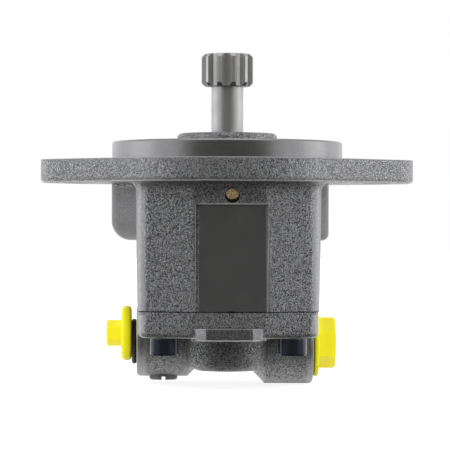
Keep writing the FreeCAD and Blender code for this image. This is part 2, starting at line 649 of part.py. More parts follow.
def drill_housing(body):
    """Flange bolt holes, cover screw holes, dowel holes and the weep hole with its plug seat."""
    bolts = new_sketch(body, "bolt_hole_outlines", "XY_Plane")
    for x in ("-bolt_spacing / 2", "bolt_spacing / 2"):
        draw_circle(bolts, x, "0", "bolt_hole_diameter / 2")
    add_pocket(body, "bolt_holes", bolts, "flange_thickness + cut_margin")
    screws = new_sketch(body, "screw_hole_outlines", "XY_Plane", "joint_face")
    for x, y in screw_places():
        draw_circle(screws, x, y, "screw_diameter / 2")
    add_pocket(body, "screw_holes", screws, "screw_grip + screw_hole_spare", up=True)
    dowels = new_sketch(body, "dowel_hole_outlines", "XY_Plane", "joint_face")
    for x, y in dowel_places():
        draw_circle(dowels, x, y, "dowel_diameter / 2")
    add_pocket(body, "dowel_holes", dowels, "dowel_length / 2 + dowel_hole_spare", up=True)
    pad = new_sketch(body, "pad_plan", "XY_Plane", "joint_face - cut_margin")
    left, right = "pad_centre - pad_width / 2", "pad_centre + pad_width / 2"
    floor, outside = "(-block_front + pad_depth)", "(-block_front - cut_margin)"
    slope = "pad_slope * (pad_depth + cut_margin) / pad_depth"
    draw_polygon(pad, [(left, floor), (left, outside), ("%s + %s" % (right, slope), outside),
                       (right, floor)])
    add_pocket(body, "pad", pad, "cut_margin - pad_top - joint_face", up=True)
    mouth = new_sketch(body, "weep_mouth_outline", "XZ_Plane", "block_front + cut_margin")
    draw_circle(mouth, "weep_offset", "-weep_drop", "weep_diameter / 2")
    add_pocket(body, "weep_mouth", mouth, "weep_mouth_depth + cut_margin")
    drain = new_sketch(body, "weep_drain_outline", "XZ_Plane", "block_front")
    draw_circle(drain, "weep_offset", "-weep_drop", "weep_plug_diameter / 2")
    add_pocket(body, "weep_drain", drain, "block_front - seal_radius + cut_margin")


def make_housing():
    body = new_body("housing")
    add_flange(body)
    add_front_block(body)
    add_back_block(body)
    add_collar(body)
    bore_shaft_line(body)
    cut_gear_chamber(body)
    drill_housing(body)


# Cover

def add_cover_plate(body):
    plan = new_sketch(body, "plate_plan", "XY_Plane", "joint_face")
    side = "(block_half_width - cover_step)"
    draw_polygon(plan, block_front_corners("cover_step") + [
        (side, "block_shoulder_back"), ("back_half_width", "block_back - cover_step"),
        ("-back_half_width", "block_back - cover_step"), ("-" + side, "block_shoulder_back")])
    add_pad(body, "plate", plan, "cover_thickness", up=False)
    land = value("land_half_width")
    add_fillet(body, "plate_corners", lambda edge: upright(edge) and abs(middle(edge).x) > land + 5,
               "cover_corner_round")
    low = value("cover_under")
    add_fillet(body, "plate_rim", lambda edge: level_edge(edge, low), "cover_rim_round")


def add_hub(body):
    """Oval hub that holds both lower bushes, rounded at the bottom."""
    outline = new_sketch(body, "hub_outline", "XY_Plane", "joint_face - cut_margin")
    draw_stadium(outline, "hub_radius", "0", "gear_distance")
    add_pad(body, "hub", outline, "joint_face - cut_margin - hub_bottom", up=False)
    low = value("hub_bottom")
    add_fillet(body, "hub_rim", lambda edge: level_edge(edge, low), "hub_round")


def add_port_boss(body, side):
    """One port boss: a bar turned about its port's axis along X, with a sloped inner end."""
    sign = "-" if side == "left" else ""
    section = new_sketch(body, side + "_boss_section", "XZ_Plane", "-mesh_line")
    section.setExpression("AttachmentOffset.Base.y", formula("%s_port_z" % side))
    face, inner = "%s%s_boss_reach" % (sign, side), "%sboss_inner_end" % sign
    radius = "%s_boss_radius" % side
    outward, inward = ("-", "+") if side == "left" else ("+", "-")
    draw_polygon(section, [
        (face, "0"), (face, radius + " - boss_face_round"),
        ("%s %s 0.3 * boss_face_round" % (face, inward), radius + " - 0.3 * boss_face_round"),
        ("%s %s boss_face_round" % (face, inward), radius),
        ("%s %s boss_inner_slope" % (inner, outward), radius),
        (inner, radius + " - boss_inner_slope"), (inner, "0")])
    turned = body.newObject("PartDesign::Revolution", side + "_boss")
    turned.Profile = section
    turned.ReferenceAxis = (section, ["H_Axis"])
    turned.Angle = 360
    finish_feature(body, turned)


def trim_cover_top(body):
    """Cut the bosses off level with the cover's joint face."""
    outline = new_sketch(body, "joint_trim_outline", "XY_Plane", "joint_face")
    reach = "2 * block_half_width"
    draw_polygon(outline, [("-" + reach, "-" + reach), (reach, "-" + reach), (reach, reach),
                           ("-" + reach, reach)])
    add_pocket(body, "joint_trim", outline, "left_boss_radius", up=True)


def add_rib(body):
    """Bevelled rib across the middle of the cover's front."""
    outline = new_sketch(body, "rib_plan", "XY_Plane", "joint_face - rib_bottom")
    foot = "-block_front + cover_step + cut_margin"
    crest = "-block_front + cover_step - rib_height"
    draw_polygon(outline, [("-rib_base_half_width", foot), ("-rib_crest_half_width", crest),
                           ("rib_crest_half_width", crest), ("rib_base_half_width", foot)])
    add_pad(body, "rib", outline, "rib_bottom - rib_top")


def bore_cover(body):
    """Bush bores, port threads with their passages, and the risers up to the gear chamber."""
    bushes = new_sketch(body, "bush_bore_outlines", "XY_Plane", "joint_face")
    for line in ("0", "gear_distance"):
        draw_circle(bushes, "0", line, "seal_radius")
    add_pocket(body, "bush_bores", bushes, "bush_length")
    for side, sign in (("left", "-"), ("right", "")):
        face = "%s%s_boss_reach" % (sign, side)
        drop = "%s_port_z" % side
        inward = side == "left"
        thread = new_sketch(body, side + "_thread_outline", "YZ_Plane", face)
        draw_circle(thread, "mesh_line", drop, "%s_thread_radius" % side)
        add_pocket(body, side + "_thread", thread, "%s_thread_depth" % side, up=inward)
        passage = new_sketch(body, side + "_passage_outline", "YZ_Plane", face)
        draw_circle(passage, "mesh_line", drop, "%s_passage_radius" % side)
        add_pocket(body, side + "_passage", passage,
                   "%s_boss_reach - %s_passage_end" % (side, side), up=inward)
        riser = new_sketch(body, side + "_riser_outline", "XY_Plane", "joint_face")
        draw_circle(riser, "%s(%s_passage_end + riser_inset + riser_radius)" % (sign, side),
                    "mesh_line", "riser_radius")
        add_pocket(body, side + "_riser", riser, "%s_port_drop" % side)
    seat = new_sketch(body, "right_seat_outline", "YZ_Plane", "right_boss_reach")
    draw_circle(seat, "mesh_line", "right_port_z", "right_seat_radius")
    add_pocket(body, "right_seat", seat, "right_seat_depth")


def bore_relief_valve(body):
    """Relief valve under the left port: seat, guide bore, plug thread and the bypass drilling."""
    steps = (("seat", "relief_orifice_radius", "left_port_z"),
             ("chamber", "relief_chamber_radius", "valve_seat"),
             ("plug", "relief_thread_radius", "left_boss_bottom + relief_thread_length"))
    for name, radius, top in steps:
        outline = new_sketch(body, "relief_%s_outline" % name, "XY_Plane", "left_boss_bottom - cut_margin")
        draw_circle(outline, "-relief_x", "mesh_line", radius)
        add_pocket(body, "relief_%s_bore" % name, outline, "%s - left_boss_bottom + cut_margin" % top,
                   up=True)
    bypass = new_sketch(body, "bypass_outline", "YZ_Plane", "-relief_x")
    draw_circle(bypass, "mesh_line", "valve_seat - bypass_radius - 0.2 * relief_web", "bypass_radius")
    add_pocket(body, "bypass", bypass, "relief_x + right_passage_end + cut_margin", up=True)


def drill_cover(body):
    screws = new_sketch(body, "clear_hole_outlines", "XY_Plane", "joint_face")
    for x, y in screw_places():
        draw_circle(screws, x, y, "screw_diameter / 2 + screw_hole_clearance")
    add_pocket(body, "clear_holes", screws, "cover_thickness + cut_margin")
    dowels = new_sketch(body, "dowel_hole_outlines", "XY_Plane", "joint_face")
    for x, y in dowel_places():
        draw_circle(dowels, x, y, "dowel_diameter / 2")
    add_pocket(body, "dowel_holes", dowels, "dowel_length / 2 + dowel_hole_spare")


def make_cover():
    body = new_body("cover")
    add_cover_plate(body)
    add_hub(body)
    add_port_boss(body, "left")
    add_port_boss(body, "right")
    trim_cover_top(body)
    add_rib(body)
    bore_cover(body)
    bore_relief_valve(body)
    drill_cover(body)


# Shafts and gears

def add_spline(body):
    """Cut the spaces between the spline's teeth, one pocket repeated round the shaft."""
    space = new_sketch(body, "spline_space_outline", "XY_Plane", "spline_end + cut_margin")
    space.setExpression("AttachmentOffset.Rotation.Angle", formula("spline_turn + 180 / spline_teeth - 180"))
    root, tip = "spline_root_diameter / 2", "(spline_diameter / 2 + cut_margin)"
    draw_polygon(space, [("-spline_space_at_root / 2", root), ("spline_space_at_root / 2", root),
                         ("spline_space_at_tip", tip), ("-spline_space_at_tip", tip)])
    pocket = add_pocket(body, "spline_space", space, "spline_length + 2 * cut_margin")
    pattern = body.newObject("PartDesign::PolarPattern", "spline_spaces")
    pattern.Originals = [pocket]
    pattern.Axis = (space, ["N_Axis"])
    pattern.Angle = 360
    pattern.setExpression("Occurrences", formula("spline_teeth"))
    finish_feature(body, pattern)


def make_drive_shaft():
    """Splined shaft with two ring grooves, a keyway and a chamfered inner end."""
    body = new_body("drive_shaft")
    section = new_sketch(body, "shaft_section", "XZ_Plane")
    tip = "spline_diameter / 2"
    bottom = "bush_floor + cut_margin"
    groove = "neck_radius - gear_ring_groove"
    upper = "chamber_roof - gear_side_clearance"
    lower = "joint_face + gear_side_clearance"
    draw_polygon(section, [
        ("0", "spline_end"), (tip + " - spline_chamfer", "spline_end"),
        (tip, "spline_end - spline_chamfer"), (tip, "spline_start + spline_chamfer"),
        (tip + " - spline_chamfer", "spline_start"), ("neck_radius", "spline_start"),
        ("neck_radius", upper), (groove, upper), (groove, upper + " - gear_ring_thickness"),
        ("neck_radius", upper + " - gear_ring_thickness"),
        ("neck_radius", lower + " + gear_ring_thickness"), (groove, lower + " + gear_ring_thickness"),
        (groove, lower), ("neck_radius", lower), ("neck_radius", bottom + " + shaft_chamfer"),
        ("neck_radius - shaft_chamfer", bottom), ("0", bottom)])
    add_turned(body, "shaft_turned", section)
    add_spline(body)
    keyway = new_sketch(body, "keyway_outline", "XZ_Plane", "neck_radius - key_in_shaft")
    draw_key_outline(keyway)
    add_pocket(body, "keyway", keyway, "key_in_shaft + cut_margin", up=True)


def draw_key_outline(sketch):
    """Key with rounded ends, seen from the front, in the middle of the drive gear's width."""
    centre = "(joint_face + gear_side_clearance + gear_width / 2)"
    half = "(key_length - key_width) / 2"
    draw_stadium(sketch, "key_width / 2", centre + " - " + half, centre + " + " + half)


def make_drive_key():
    body = new_body("drive_key")
    outline = new_sketch(body, "key_outline", "XZ_Plane", "neck_radius - key_in_shaft")
    draw_key_outline(outline)
    add_pad(body, "key", outline, "key_in_shaft + key_in_gear")


def make_driven_shaft():
    low = "bush_floor + cut_margin"
    high = "chamber_roof + bush_length - cut_margin"
    turned_piece("driven_shaft", [
        ("0", low), ("neck_radius - shaft_chamfer", low), ("neck_radius", low + " + shaft_chamfer"),
        ("neck_radius", high + " - shaft_chamfer"), ("neck_radius - shaft_chamfer", high),
        ("0", high)], ("0", "gear_distance", "0"))


def involute_point(base, roll, turn):
    """Point of the involute of a circle after a roll angle, the whole turned about the centre."""
    x = base * (math.cos(roll) + roll * math.sin(roll))
    y = base * (math.sin(roll) - roll * math.cos(roll))
    return FreeCAD.Vector(x * math.cos(turn) - y * math.sin(turn),
                          x * math.sin(turn) + y * math.cos(turn), 0)


def gear_outline(first_tooth):
    """Closed wire of a spur gear: involute flanks, arcs at tips and roots, radial below the base."""
    module, teeth = value("gear_module"), int(value("gear_teeth"))
    pressure = math.radians(value("gear_pressure_angle"))
    pitch = module * teeth / 2
    base = pitch * math.cos(pressure)
    tip, root = value("gear_tip_radius"), pitch - 1.25 * module
    half_tooth = math.pi / (2 * teeth) - value("gear_backlash") / (2 * pitch)
    flank_turn = half_tooth + math.tan(pressure) - pressure
    end_roll = math.sqrt((tip / base) ** 2 - 1)
    start_roll = math.sqrt(max((root / base) ** 2 - 1, 0))
    samples = [start_roll + (end_roll - start_roll) * step / 6 for step in range(7)]
    edges = []

    def polar(radius, angle):
        return FreeCAD.Vector(radius * math.cos(angle), radius * math.sin(angle), 0)

    for tooth in range(teeth):
        centre = first_tooth + 2 * math.pi * tooth / teeth
        rising = [involute_point(base, roll, centre - flank_turn) for roll in samples]
        mirrored = [involute_point(base, roll, 0) for roll in samples]
        falling = [FreeCAD.Vector(point.x, -point.y, 0) for point in mirrored]
        falling = [polar(point.Length, math.atan2(point.y, point.x) + centre + flank_turn)
                   for point in falling]
        last = centre + flank_turn
        following = centre + 2 * math.pi / teeth - flank_turn
        if root < base:
            edges.append(Part.LineSegment(polar(root, centre - flank_turn), rising[0]).toShape())
        edges.append(smooth_edge(rising))
        edges.append(Part.Arc(rising[-1], polar(tip, centre), falling[-1]).toShape())
        edges.append(smooth_edge(falling[::-1]))
        if root < base:
            edges.append(Part.LineSegment(falling[0], polar(root, last)).toShape())
        edges.append(Part.Arc(polar(root, last), polar(root, (last + following) / 2),
                              polar(root, following)).toShape())
    return Part.Wire(Part.__sortEdges__(edges))


def smooth_edge(points):
    curve = Part.BSplineCurve()
    curve.interpolate(points)
    return curve.toShape()


def gear_blank(first_tooth):
    """A gear of full width whose lower face is at height 0, bored for the shaft."""
    width = value("gear_width")
    solid = Part.Face(gear_outline(first_tooth)).extrude(FreeCAD.Vector(0, 0, width))
    return solid.cut(Part.makeCylinder(value("neck_radius"), width))


def add_shape(label, shape, place=("0", "0", "0")):
    """A piece whose shape comes from the sizes above, with its place bound to them."""
    piece = doc.addObject("Part::Feature", label)
    piece.Label = label
    piece.Shape = shape
    for axis, text in zip("xyz", place):
        piece.setExpression("Placement.Base." + axis, formula(text))
    return piece


def make_gears():
    """Two equal gears in mesh: a tooth of the drive gear points at a space of the driven gear."""
    width = value("gear_width")
    blank = gear_blank(math.pi / 2)
    recess = value("gear_ring_radius + gear_recess_clearance")
    depth = value("gear_ring_thickness")
    for low in (0, width - depth):
        blank = blank.cut(Part.makeCylinder(recess, depth, FreeCAD.Vector(0, 0, low)))
    half, length = value("key_width / 2"), value("key_length")
    height = value("neck_radius + key_in_gear")
    low = (width - length) / 2 + half
    slot = Part.makeBox(2 * half, height, length - 2 * half, FreeCAD.Vector(-half, -height, low))
    for end in (low, low + length - 2 * half):
        slot = slot.fuse(Part.makeCylinder(half, height, FreeCAD.Vector(0, 0, end),
                                           FreeCAD.Vector(0, -1, 0)))
    gear_base = "joint_face + gear_side_clearance"
    add_shape("drive_gear", blank.cut(slot), ("0", "0", gear_base))
    half_pitch = math.pi / value("gear_teeth")
    add_shape("driven_gear", gear_blank(-math.pi / 2 + half_pitch), ("0", "gear_distance", gear_base))


def make_gear_retaining_rings():
    """Two open rings in the shaft's grooves, one in each face of the drive gear."""
    inner, outer = value("neck_radius - gear_ring_groove"), value("gear_ring_radius")
    thickness = value("gear_ring_thickness")
    opening = value("key_width")
    rings = []
    for low in (0, value("gear_width") - thickness):
        foot = FreeCAD.Vector(0, 0, low)
        ring = Part.makeCylinder(outer, thickness, foot).cut(Part.makeCylinder(inner, thickness, foot))
        gap = Part.makeBox(opening, outer, thickness, FreeCAD.Vector(-opening / 2, 0, low))
        rings.append(ring.cut(gap))
    add_shape("gear_retaining_rings", Part.makeCompound(rings),
              ("0", "0", "joint_face + gear_side_clearance"))


# Bushes and seals

def make_bushes():
    """Four plain bushes, two above the gears in the housing and two below in the cover."""
    for name, line, foot in (("drive_bush_upper", "0", "chamber_roof"),
                             ("drive_bush_lower", "0", "bush_floor"),
                             ("driven_bush_upper", "gear_distance", "chamber_roof"),
                             ("driven_bush_lower", "gear_distance", "bush_floor")):
        bore = "neck_radius + running_clearance"
        turned_piece(name, [(bore, "0"), ("seal_radius", "0"), ("seal_radius", "bush_length"),
                            (bore, "bush_length")], ("0", line, foot))


def wire_section(radius, wire, height=0.0):
    """Six-sided section of a thin spring wire in the XZ plane, radius from the axis."""
    corners = [FreeCAD.Vector(radius + wire * math.cos(math.radians(angle)), 0,
                              height + wire * math.sin(math.radians(angle)))
               for angle in range(0, 420, 60)]
    return Part.Face(Part.makePolygon(corners))


def make_shaft_seals():
    """Two lip seals back to back: outer wall, flange and a lip that leans on the shaft."""
    lip = "neck_radius + running_clearance"
    wall = "seal_radius - seal_wall"
    stem = "neck_radius + 2.2 * running_clearance + seal_wall"
    for name, top, way in (("outer_shaft_seal", "outer_seal_top", "-"),
                           ("inner_shaft_seal", "inner_seal_top - seal_height", "+")):
        def level(text):
            return "0 %s (%s)" % (way, text)
        turned_piece(name, [
            ("seal_radius", level("0")), ("seal_radius", level("seal_height")),
            (wall, level("seal_height")), (wall, level("seal_wall")), (stem, level("seal_wall")),
            (stem, level("seal_height - seal_wall")), (lip, level("seal_height - seal_wall")),
            (lip, level("seal_height - seal_wall - seal_lip_height")),
            (lip + " + 0.5 * seal_wall", level("0"))], ("0", "0", top))
    spring_height = value("seal_height - seal_wall - seal_lip_height")
    wire = value("seal_wall / 4")
    ring = value(stem) + wire
    places = (value("outer_seal_top") - spring_height,
              value("inner_seal_top - seal_height") + spring_height)
    springs = []
    for height in places:
        section = wire_section(ring, wire, height)
        springs.append(section.revolve(FreeCAD.Vector(0, 0, 0), FreeCAD.Vector(0, 0, 1), 360))
    add_shape("seal_garter_springs", Part.makeCompound(springs))


def make_seal_spacer():
    """Ring between the seals with one cross hole that lets leaked fluid reach the weep hole."""
    body = new_body("seal_spacer")
    section = new_sketch(body, "spacer_section", "XZ_Plane")
    inner = "seal_radius - spacer_wall"
    high, low = "outer_seal_top - seal_height", "inner_seal_top"
    draw_polygon(section, [(inner, low), ("seal_radius", low), ("seal_radius", high), (inner, high)])
    add_turned(body, "spacer_turned", section)
    hole = new_sketch(body, "spacer_hole_outline", "XZ_Plane", "seal_radius + cut_margin")
    draw_circle(hole, "weep_offset", "-weep_drop", "weep_plug_diameter / 2")
    add_pocket(body, "spacer_hole", hole, "2 * spacer_wall + 2 * cut_margin")


def make_seal_retaining_ring():
    """Open spring ring in the groove under the inner seal."""
    outer = value("seal_radius + seal_ring_depth")
    inner = outer - value("seal_ring_width")
    thickness = value("seal_ring_thickness")
    ring = Part.makeCylinder(outer, thickness).cut(Part.makeCylinder(inner, thickness))
    opening = value("key_width")
    gap = Part.makeBox(opening, outer, thickness, FreeCAD.Vector(-opening / 2, 0, 0))
    add_shape("seal_retaining_ring", ring.cut(gap), ("0", "0", "seal_ring_top - seal_ring_thickness"))


def make_cover_seal():
    """Moulded seal that fills its groove's depth, round both gear bores."""
    body = new_body("cover_seal")
    outline = new_sketch(body, "cover_seal_outline", "XY_Plane", "joint_face")
    draw_stadium(outline, "seal_groove_radius + seal_groove_clearance", "0", "gear_distance")
    draw_stadium(outline, "seal_groove_reach - seal_groove_clearance", "0", "gear_distance")
    add_pad(body, "cover_seal_ring", outline, "seal_groove_depth")


def make_weep_plug():
    body = new_body("weep_plug")
    outline = new_sketch(body, "weep_plug_outline", "XZ_Plane", "weep_land - weep_plug_length")
    draw_circle(outline, "weep_offset", "-weep_drop", "weep_plug_diameter / 2")
    add_pad(body, "weep_plug_bar", outline, "weep_plug_length")


# Fasteners

def hexagon(corner_radius, height):
    """Upright hexagonal bar with two corners on X."""
    corners = [FreeCAD.Vector(corner_radius * math.cos(math.radians(60 * step)),
                              corner_radius * math.sin(math.radians(60 * step)), 0)
               for step in range(7)]
    return Part.Face(Part.makePolygon(corners)).extrude(FreeCAD.Vector(0, 0, height))


def screw_shape():
    """Socket head screw, head down, with the plane under its head at height 0."""
    shank, head = value("screw_diameter / 2"), value("screw_head_diameter / 2")
    height, chamfer = value("screw_head_height"), value("screw_head_chamfer")
    length = value("cover_thickness + screw_grip")
    points = [(0, -height), (head - chamfer, -height), (head, -height + chamfer), (head, 0),
              (shank, 0), (shank, length - chamfer), (shank - chamfer, length), (0, length), (0, -height)]
    outline = Part.makePolygon([FreeCAD.Vector(x, 0, z) for x, z in points])
    solid = Part.Face(outline).revolve(FreeCAD.Vector(0, 0, 0), FreeCAD.Vector(0, 0, 1), 360)
    socket = hexagon(value("socket_across_flats") / math.sqrt(3), value("socket_depth"))
    socket.translate(FreeCAD.Vector(0, 0, -height))
    return solid.cut(socket)


def make_cover_screws():
    screw = screw_shape()
    under = value("cover_under")
    copies = []
    for x, y in screw_places():
        copy = screw.copy()
        copy.translate(FreeCAD.Vector(value(x), value(y), under))
        copies.append(copy)
    add_shape("cover_screws", Part.makeCompound(copies))


def make_locating_dowels():
    length = value("dowel_length")
    foot = value("joint_face") - length / 2
    dowels = [Part.makeCylinder(value("dowel_diameter / 2"), length,
                                FreeCAD.Vector(value(x), value(y), foot))
              for x, y in dowel_places()]
    add_shape("locating_dowels", Part.makeCompound(dowels))


# Relief valve

def make_relief_valve():
    """Poppet on its seat, spring, and the slotted cup-shaped plug that holds the spring."""
    place = ("-relief_x", "mesh_line", "0")
    cup = "relief_plug_bottom + relief_plug_cup_floor"
    skirt = "relief_chamber_radius - poppet_clearance"
    nose = "relief_orifice_radius - poppet_clearance"
    waist_top = "valve_seat - poppet_nose_height / 2"
    waist_low = waist_top + " - poppet_waist_height"
    skirt_low = waist_low + " - poppet_skirt_height"
    slope = "(poppet_waist_radius - relief_orifice_radius + poppet_clearance)"
    turned_piece("relief_poppet", [
        ("0", skirt_low), (skirt, skirt_low), (skirt, waist_low), ("poppet_waist_radius", waist_low),
        ("poppet_waist_radius", waist_top), (nose, "valve_seat"),
        ("%s - %s" % (nose, slope), "valve_seat + poppet_nose_height / 2"),
        ("0", "valve_seat + poppet_nose_height / 2")], place)
    turned_piece("relief_plug", [
        ("0", "relief_plug_bottom"), ("relief_thread_radius - relief_chamfer", "relief_plug_bottom"),
        ("relief_thread_radius", "relief_plug_bottom + relief_chamfer"),
        ("relief_thread_radius", "left_boss_bottom + relief_thread_length"),
        ("relief_plug_cup_radius", "left_boss_bottom + relief_thread_length"),
        ("relief_plug_cup_radius", cup), ("0", cup)], place)
    plug = doc.getObject("relief_plug")
    slot = new_sketch(plug, "slot_outline", "XY_Plane", "relief_plug_bottom - cut_margin")
    half, reach = "relief_slot_width / 2", "(relief_thread_radius + cut_margin)"
    draw_polygon(slot, [("-" + half, "-" + reach), (half, "-" + reach), (half, reach),
                        ("-" + half, reach)])
    add_pocket(plug, "slot", slot, "relief_slot_depth + cut_margin", up=True)
    wire, radius = value("spring_wire_radius"), value("spring_radius")
    low, high = value(cup) + wire, value(skirt_low) - wire
    pitch = (high - low) / value("spring_turns")
    path = Part.makeHelix(pitch, high - low, radius)
    coil = Part.Wire(path).makePipeShell([wire_section(radius, wire).OuterWire], True, True)
    add_shape("relief_spring", coil, ("-relief_x", "mesh_line", "%s + spring_wire_radius" % cup))


# Transport plugs

def plug_shape(side, profile, corner_radius, knob_start, knob_length, chamfer):
    """A plug turned about Z with its outer end up: stepped body plus a chamfered hexagon."""
    outline = Part.makePolygon([FreeCAD.Vector(x, 0, z) for x, z in profile + profile[:1]])
    turned = Part.Face(outline).revolve(FreeCAD.Vector(0, 0, 0), FreeCAD.Vector(0, 0, 1), 360)
    knob = hexagon(corner_radius, knob_length)
    flat = corner_radius * math.cos(math.radians(30))
    cone = Part.makeCone(corner_radius + knob_length - chamfer, flat - chamfer / 2,
                         knob_length + corner_radius - flat - chamfer / 2)
    knob = knob.common(cone)
    knob.translate(FreeCAD.Vector(0, 0, knob_start))
    rounded = rounded_flange(turned, side)
    return rounded.fuse(knob).removeSplitter()


def rounded_flange(shape, side):
    """Round the outer rim of a plug's flange on its outward side, and for the left one on both."""
    radius = value(side + "_flange_radius")
    edges = [edge for edge in shape.Edges
             if edge.Curve.TypeId == "Part::GeomCircle" and near(edge.Curve.Radius, radius)]
    return shape.makeFillet(value(side + "_flange_round"), edges)


def make_left_port_plug():
    """Left plug: threaded shank, thin neck, thick rounded flange and a small hexagon."""
    shank = value("left_thread_radius - left_plug_clearance")
    neck, flange = value("left_neck_radius"), value("left_flange_radius")
    grip, gap = value("left_plug_grip"), value("left_neck_length")
    thick = value("left_flange_thickness")
    profile = [(0, -grip), (shank - 0.8, -grip), (shank, 0.8 - grip), (shank, 0), (neck, 0),
               (neck, gap), (flange, gap), (flange, gap + thick), (0, gap + thick)]
    shape = plug_shape("left", profile, value("left_knob_radius"), gap + thick,
                       value("left_knob_length"), value("knob_chamfer"))
    shape.rotate(FreeCAD.Vector(0, 0, 0), FreeCAD.Vector(0, 1, 0), -90)
    add_shape("left_port_plug", shape, ("-left_boss_reach", "mesh_line", "left_port_z"))


def make_right_port_plug():
    """Right plug: threaded shank, thin wide flange and a large hexagon."""
    shank = value("right_thread_radius - right_plug_clearance")
    flange, gap = value("right_flange_radius"), value("right_flange_gap")
    grip, thick = value("right_plug_grip"), value("right_flange_thickness")
    profile = [(0, -grip), (shank - 0.8, -grip), (shank, 0.8 - grip), (shank, gap), (flange, gap),
               (flange, gap + thick), (0, gap + thick)]
    shape = plug_shape("right", profile, value("right_head_radius"), gap + thick,
                       value("right_head_length"), value("right_head_chamfer"))
    shape.rotate(FreeCAD.Vector(0, 0, 0), FreeCAD.Vector(0, 1, 0), 90)
    add_shape("right_port_plug", shape, ("right_boss_reach", "mesh_line", "right_port_z"))


def make_port_rings():
    """Sealing rings: the left one hangs on its plug's neck, the right one lies in its recess."""
    section = value("ring_section_radius")
    left = Part.makeTorus(value("left_ring_radius"), section, FreeCAD.Vector(0, 0, 0),
                          FreeCAD.Vector(1, 0, 0))
    hang = "left_ring_radius - ring_section_radius - left_neck_radius - ring_hang_gap"
    add_shape("left_port_ring", left, ("-left_boss_reach - left_neck_length / 2", "mesh_line",
                                       "left_port_z - (%s)" % hang))
    right = Part.makeTorus(value("right_ring_radius"), value("right_ring_section_radius"),
                           FreeCAD.Vector(0, 0, 0), FreeCAD.Vector(1, 0, 0))
    add_shape("right_port_ring", right,
              ("right_boss_reach + right_flange_gap - ring_side_gap - right_ring_section_radius",
               "mesh_line", "right_port_z"))


NODES = ["housing", "cover", "drive_shaft", "drive_gear", "drive_key", "gear_retaining_rings",
         "driven_gear", "driven_shaft", "drive_bush_upper", "drive_bush_lower", "driven_bush_upper",
         "driven_bush_lower", "outer_shaft_seal", "inner_shaft_seal", "seal_garter_springs",
         "seal_spacer", "seal_retaining_ring", "weep_plug", "cover_seal", "cover_screws",
         "locating_dowels", "relief_poppet", "relief_spring", "relief_plug", "left_port_plug",
         "left_port_ring", "right_port_plug", "right_port_ring"]


def build():
    fill_sheet()
    make_housing()
    make_cover()
    make_drive_shaft()
    make_drive_key()
    make_driven_shaft()
    make_gears()
    make_gear_retaining_rings()
    make_bushes()
    make_shaft_seals()
    make_seal_spacer()
    make_seal_retaining_ring()
    make_weep_plug()
    make_cover_seal()
    make_cover_screws()
    make_locating_dowels()
    make_relief_valve()
    make_left_port_plug()
    make_right_port_plug()
    make_port_rings()
    doc.recompute()


def check_and_write():
    """Stop on any failed object or bad shape, then write one file for each piece."""
    for item in doc.Objects:
        if "Invalid" in item.State or "Error" in item.State:
            raise RuntimeError("%s did not compute" % item.Label)
    os.makedirs("parts", exist_ok=True)
    for name in NODES:
        shape = doc.getObject(name).Shape
        if shape.isNull() or not shape.isValid():
            raise RuntimeError("%s has no valid shape" % name)
        print("%-22s solids %d volume %9.1f" % (name, len(shape.Solids), shape.Volume))
        shape.exportStep("parts/%s.step" % name)


build()
check_and_write()
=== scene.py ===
import math
from functools import reduce

import bmesh
import bpy
import numpy as np
from mathutils import Matrix, Vector


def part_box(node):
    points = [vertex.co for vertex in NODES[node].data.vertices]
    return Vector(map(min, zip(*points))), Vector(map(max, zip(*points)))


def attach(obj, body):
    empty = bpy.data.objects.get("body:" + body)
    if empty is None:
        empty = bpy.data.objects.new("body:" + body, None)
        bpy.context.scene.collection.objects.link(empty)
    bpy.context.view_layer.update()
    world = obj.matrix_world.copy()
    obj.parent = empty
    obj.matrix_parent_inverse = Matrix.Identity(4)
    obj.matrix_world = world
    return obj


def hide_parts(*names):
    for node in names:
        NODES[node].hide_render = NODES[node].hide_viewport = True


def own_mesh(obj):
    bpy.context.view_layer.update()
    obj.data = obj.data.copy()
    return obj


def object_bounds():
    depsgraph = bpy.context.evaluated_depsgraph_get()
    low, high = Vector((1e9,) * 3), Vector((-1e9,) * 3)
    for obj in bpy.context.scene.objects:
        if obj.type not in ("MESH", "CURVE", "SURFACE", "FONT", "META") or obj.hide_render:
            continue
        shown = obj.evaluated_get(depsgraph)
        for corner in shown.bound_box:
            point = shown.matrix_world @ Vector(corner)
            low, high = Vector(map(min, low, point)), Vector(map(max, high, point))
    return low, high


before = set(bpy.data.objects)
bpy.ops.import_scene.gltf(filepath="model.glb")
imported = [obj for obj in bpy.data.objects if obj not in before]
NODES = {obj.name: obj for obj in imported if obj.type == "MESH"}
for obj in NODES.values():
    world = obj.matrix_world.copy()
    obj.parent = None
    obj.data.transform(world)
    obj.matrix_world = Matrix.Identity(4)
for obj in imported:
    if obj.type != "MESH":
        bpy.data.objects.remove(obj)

bl_info = {
    "name": "Fuel Transfer Pump",
    "version": (1, 0, 0),
    "blender": (4, 5, 0),
    "location": "3D View > Sidebar > Pump",
    "description": "Finishes and details of a cast iron gear pump with yellow port plugs",
    "category": "Object",
}

MM = 0.001
CAD_BOX = [list(corner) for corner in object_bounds()]
JOINT_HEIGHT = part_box("cover")[1][2]  # where the cover meets the housing
PLATE_HEIGHT = JOINT_HEIGHT - 9.2 * MM  # underside of the cover's plate
RELIEF_CUP = 2.2 * MM  # thickness of the slotted plug's floor, on which the relief spring stands
RELIEF_WIRE = 0.34 * MM  # radius of the relief spring's wire
RELIEF_TURNS = 3
CONTACT_GAP = 0.01 * MM  # kept between meshes that touch, so that their faces don't flicker
HALF_SIDE = math.radians(30)  # half of the turn that one side of a hexagon takes up


# Meshes

def middle_of(node):
    """Middle of a CAD node's box."""
    low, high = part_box(node)
    return [(a + b) / 2 for a, b in zip(low, high)]


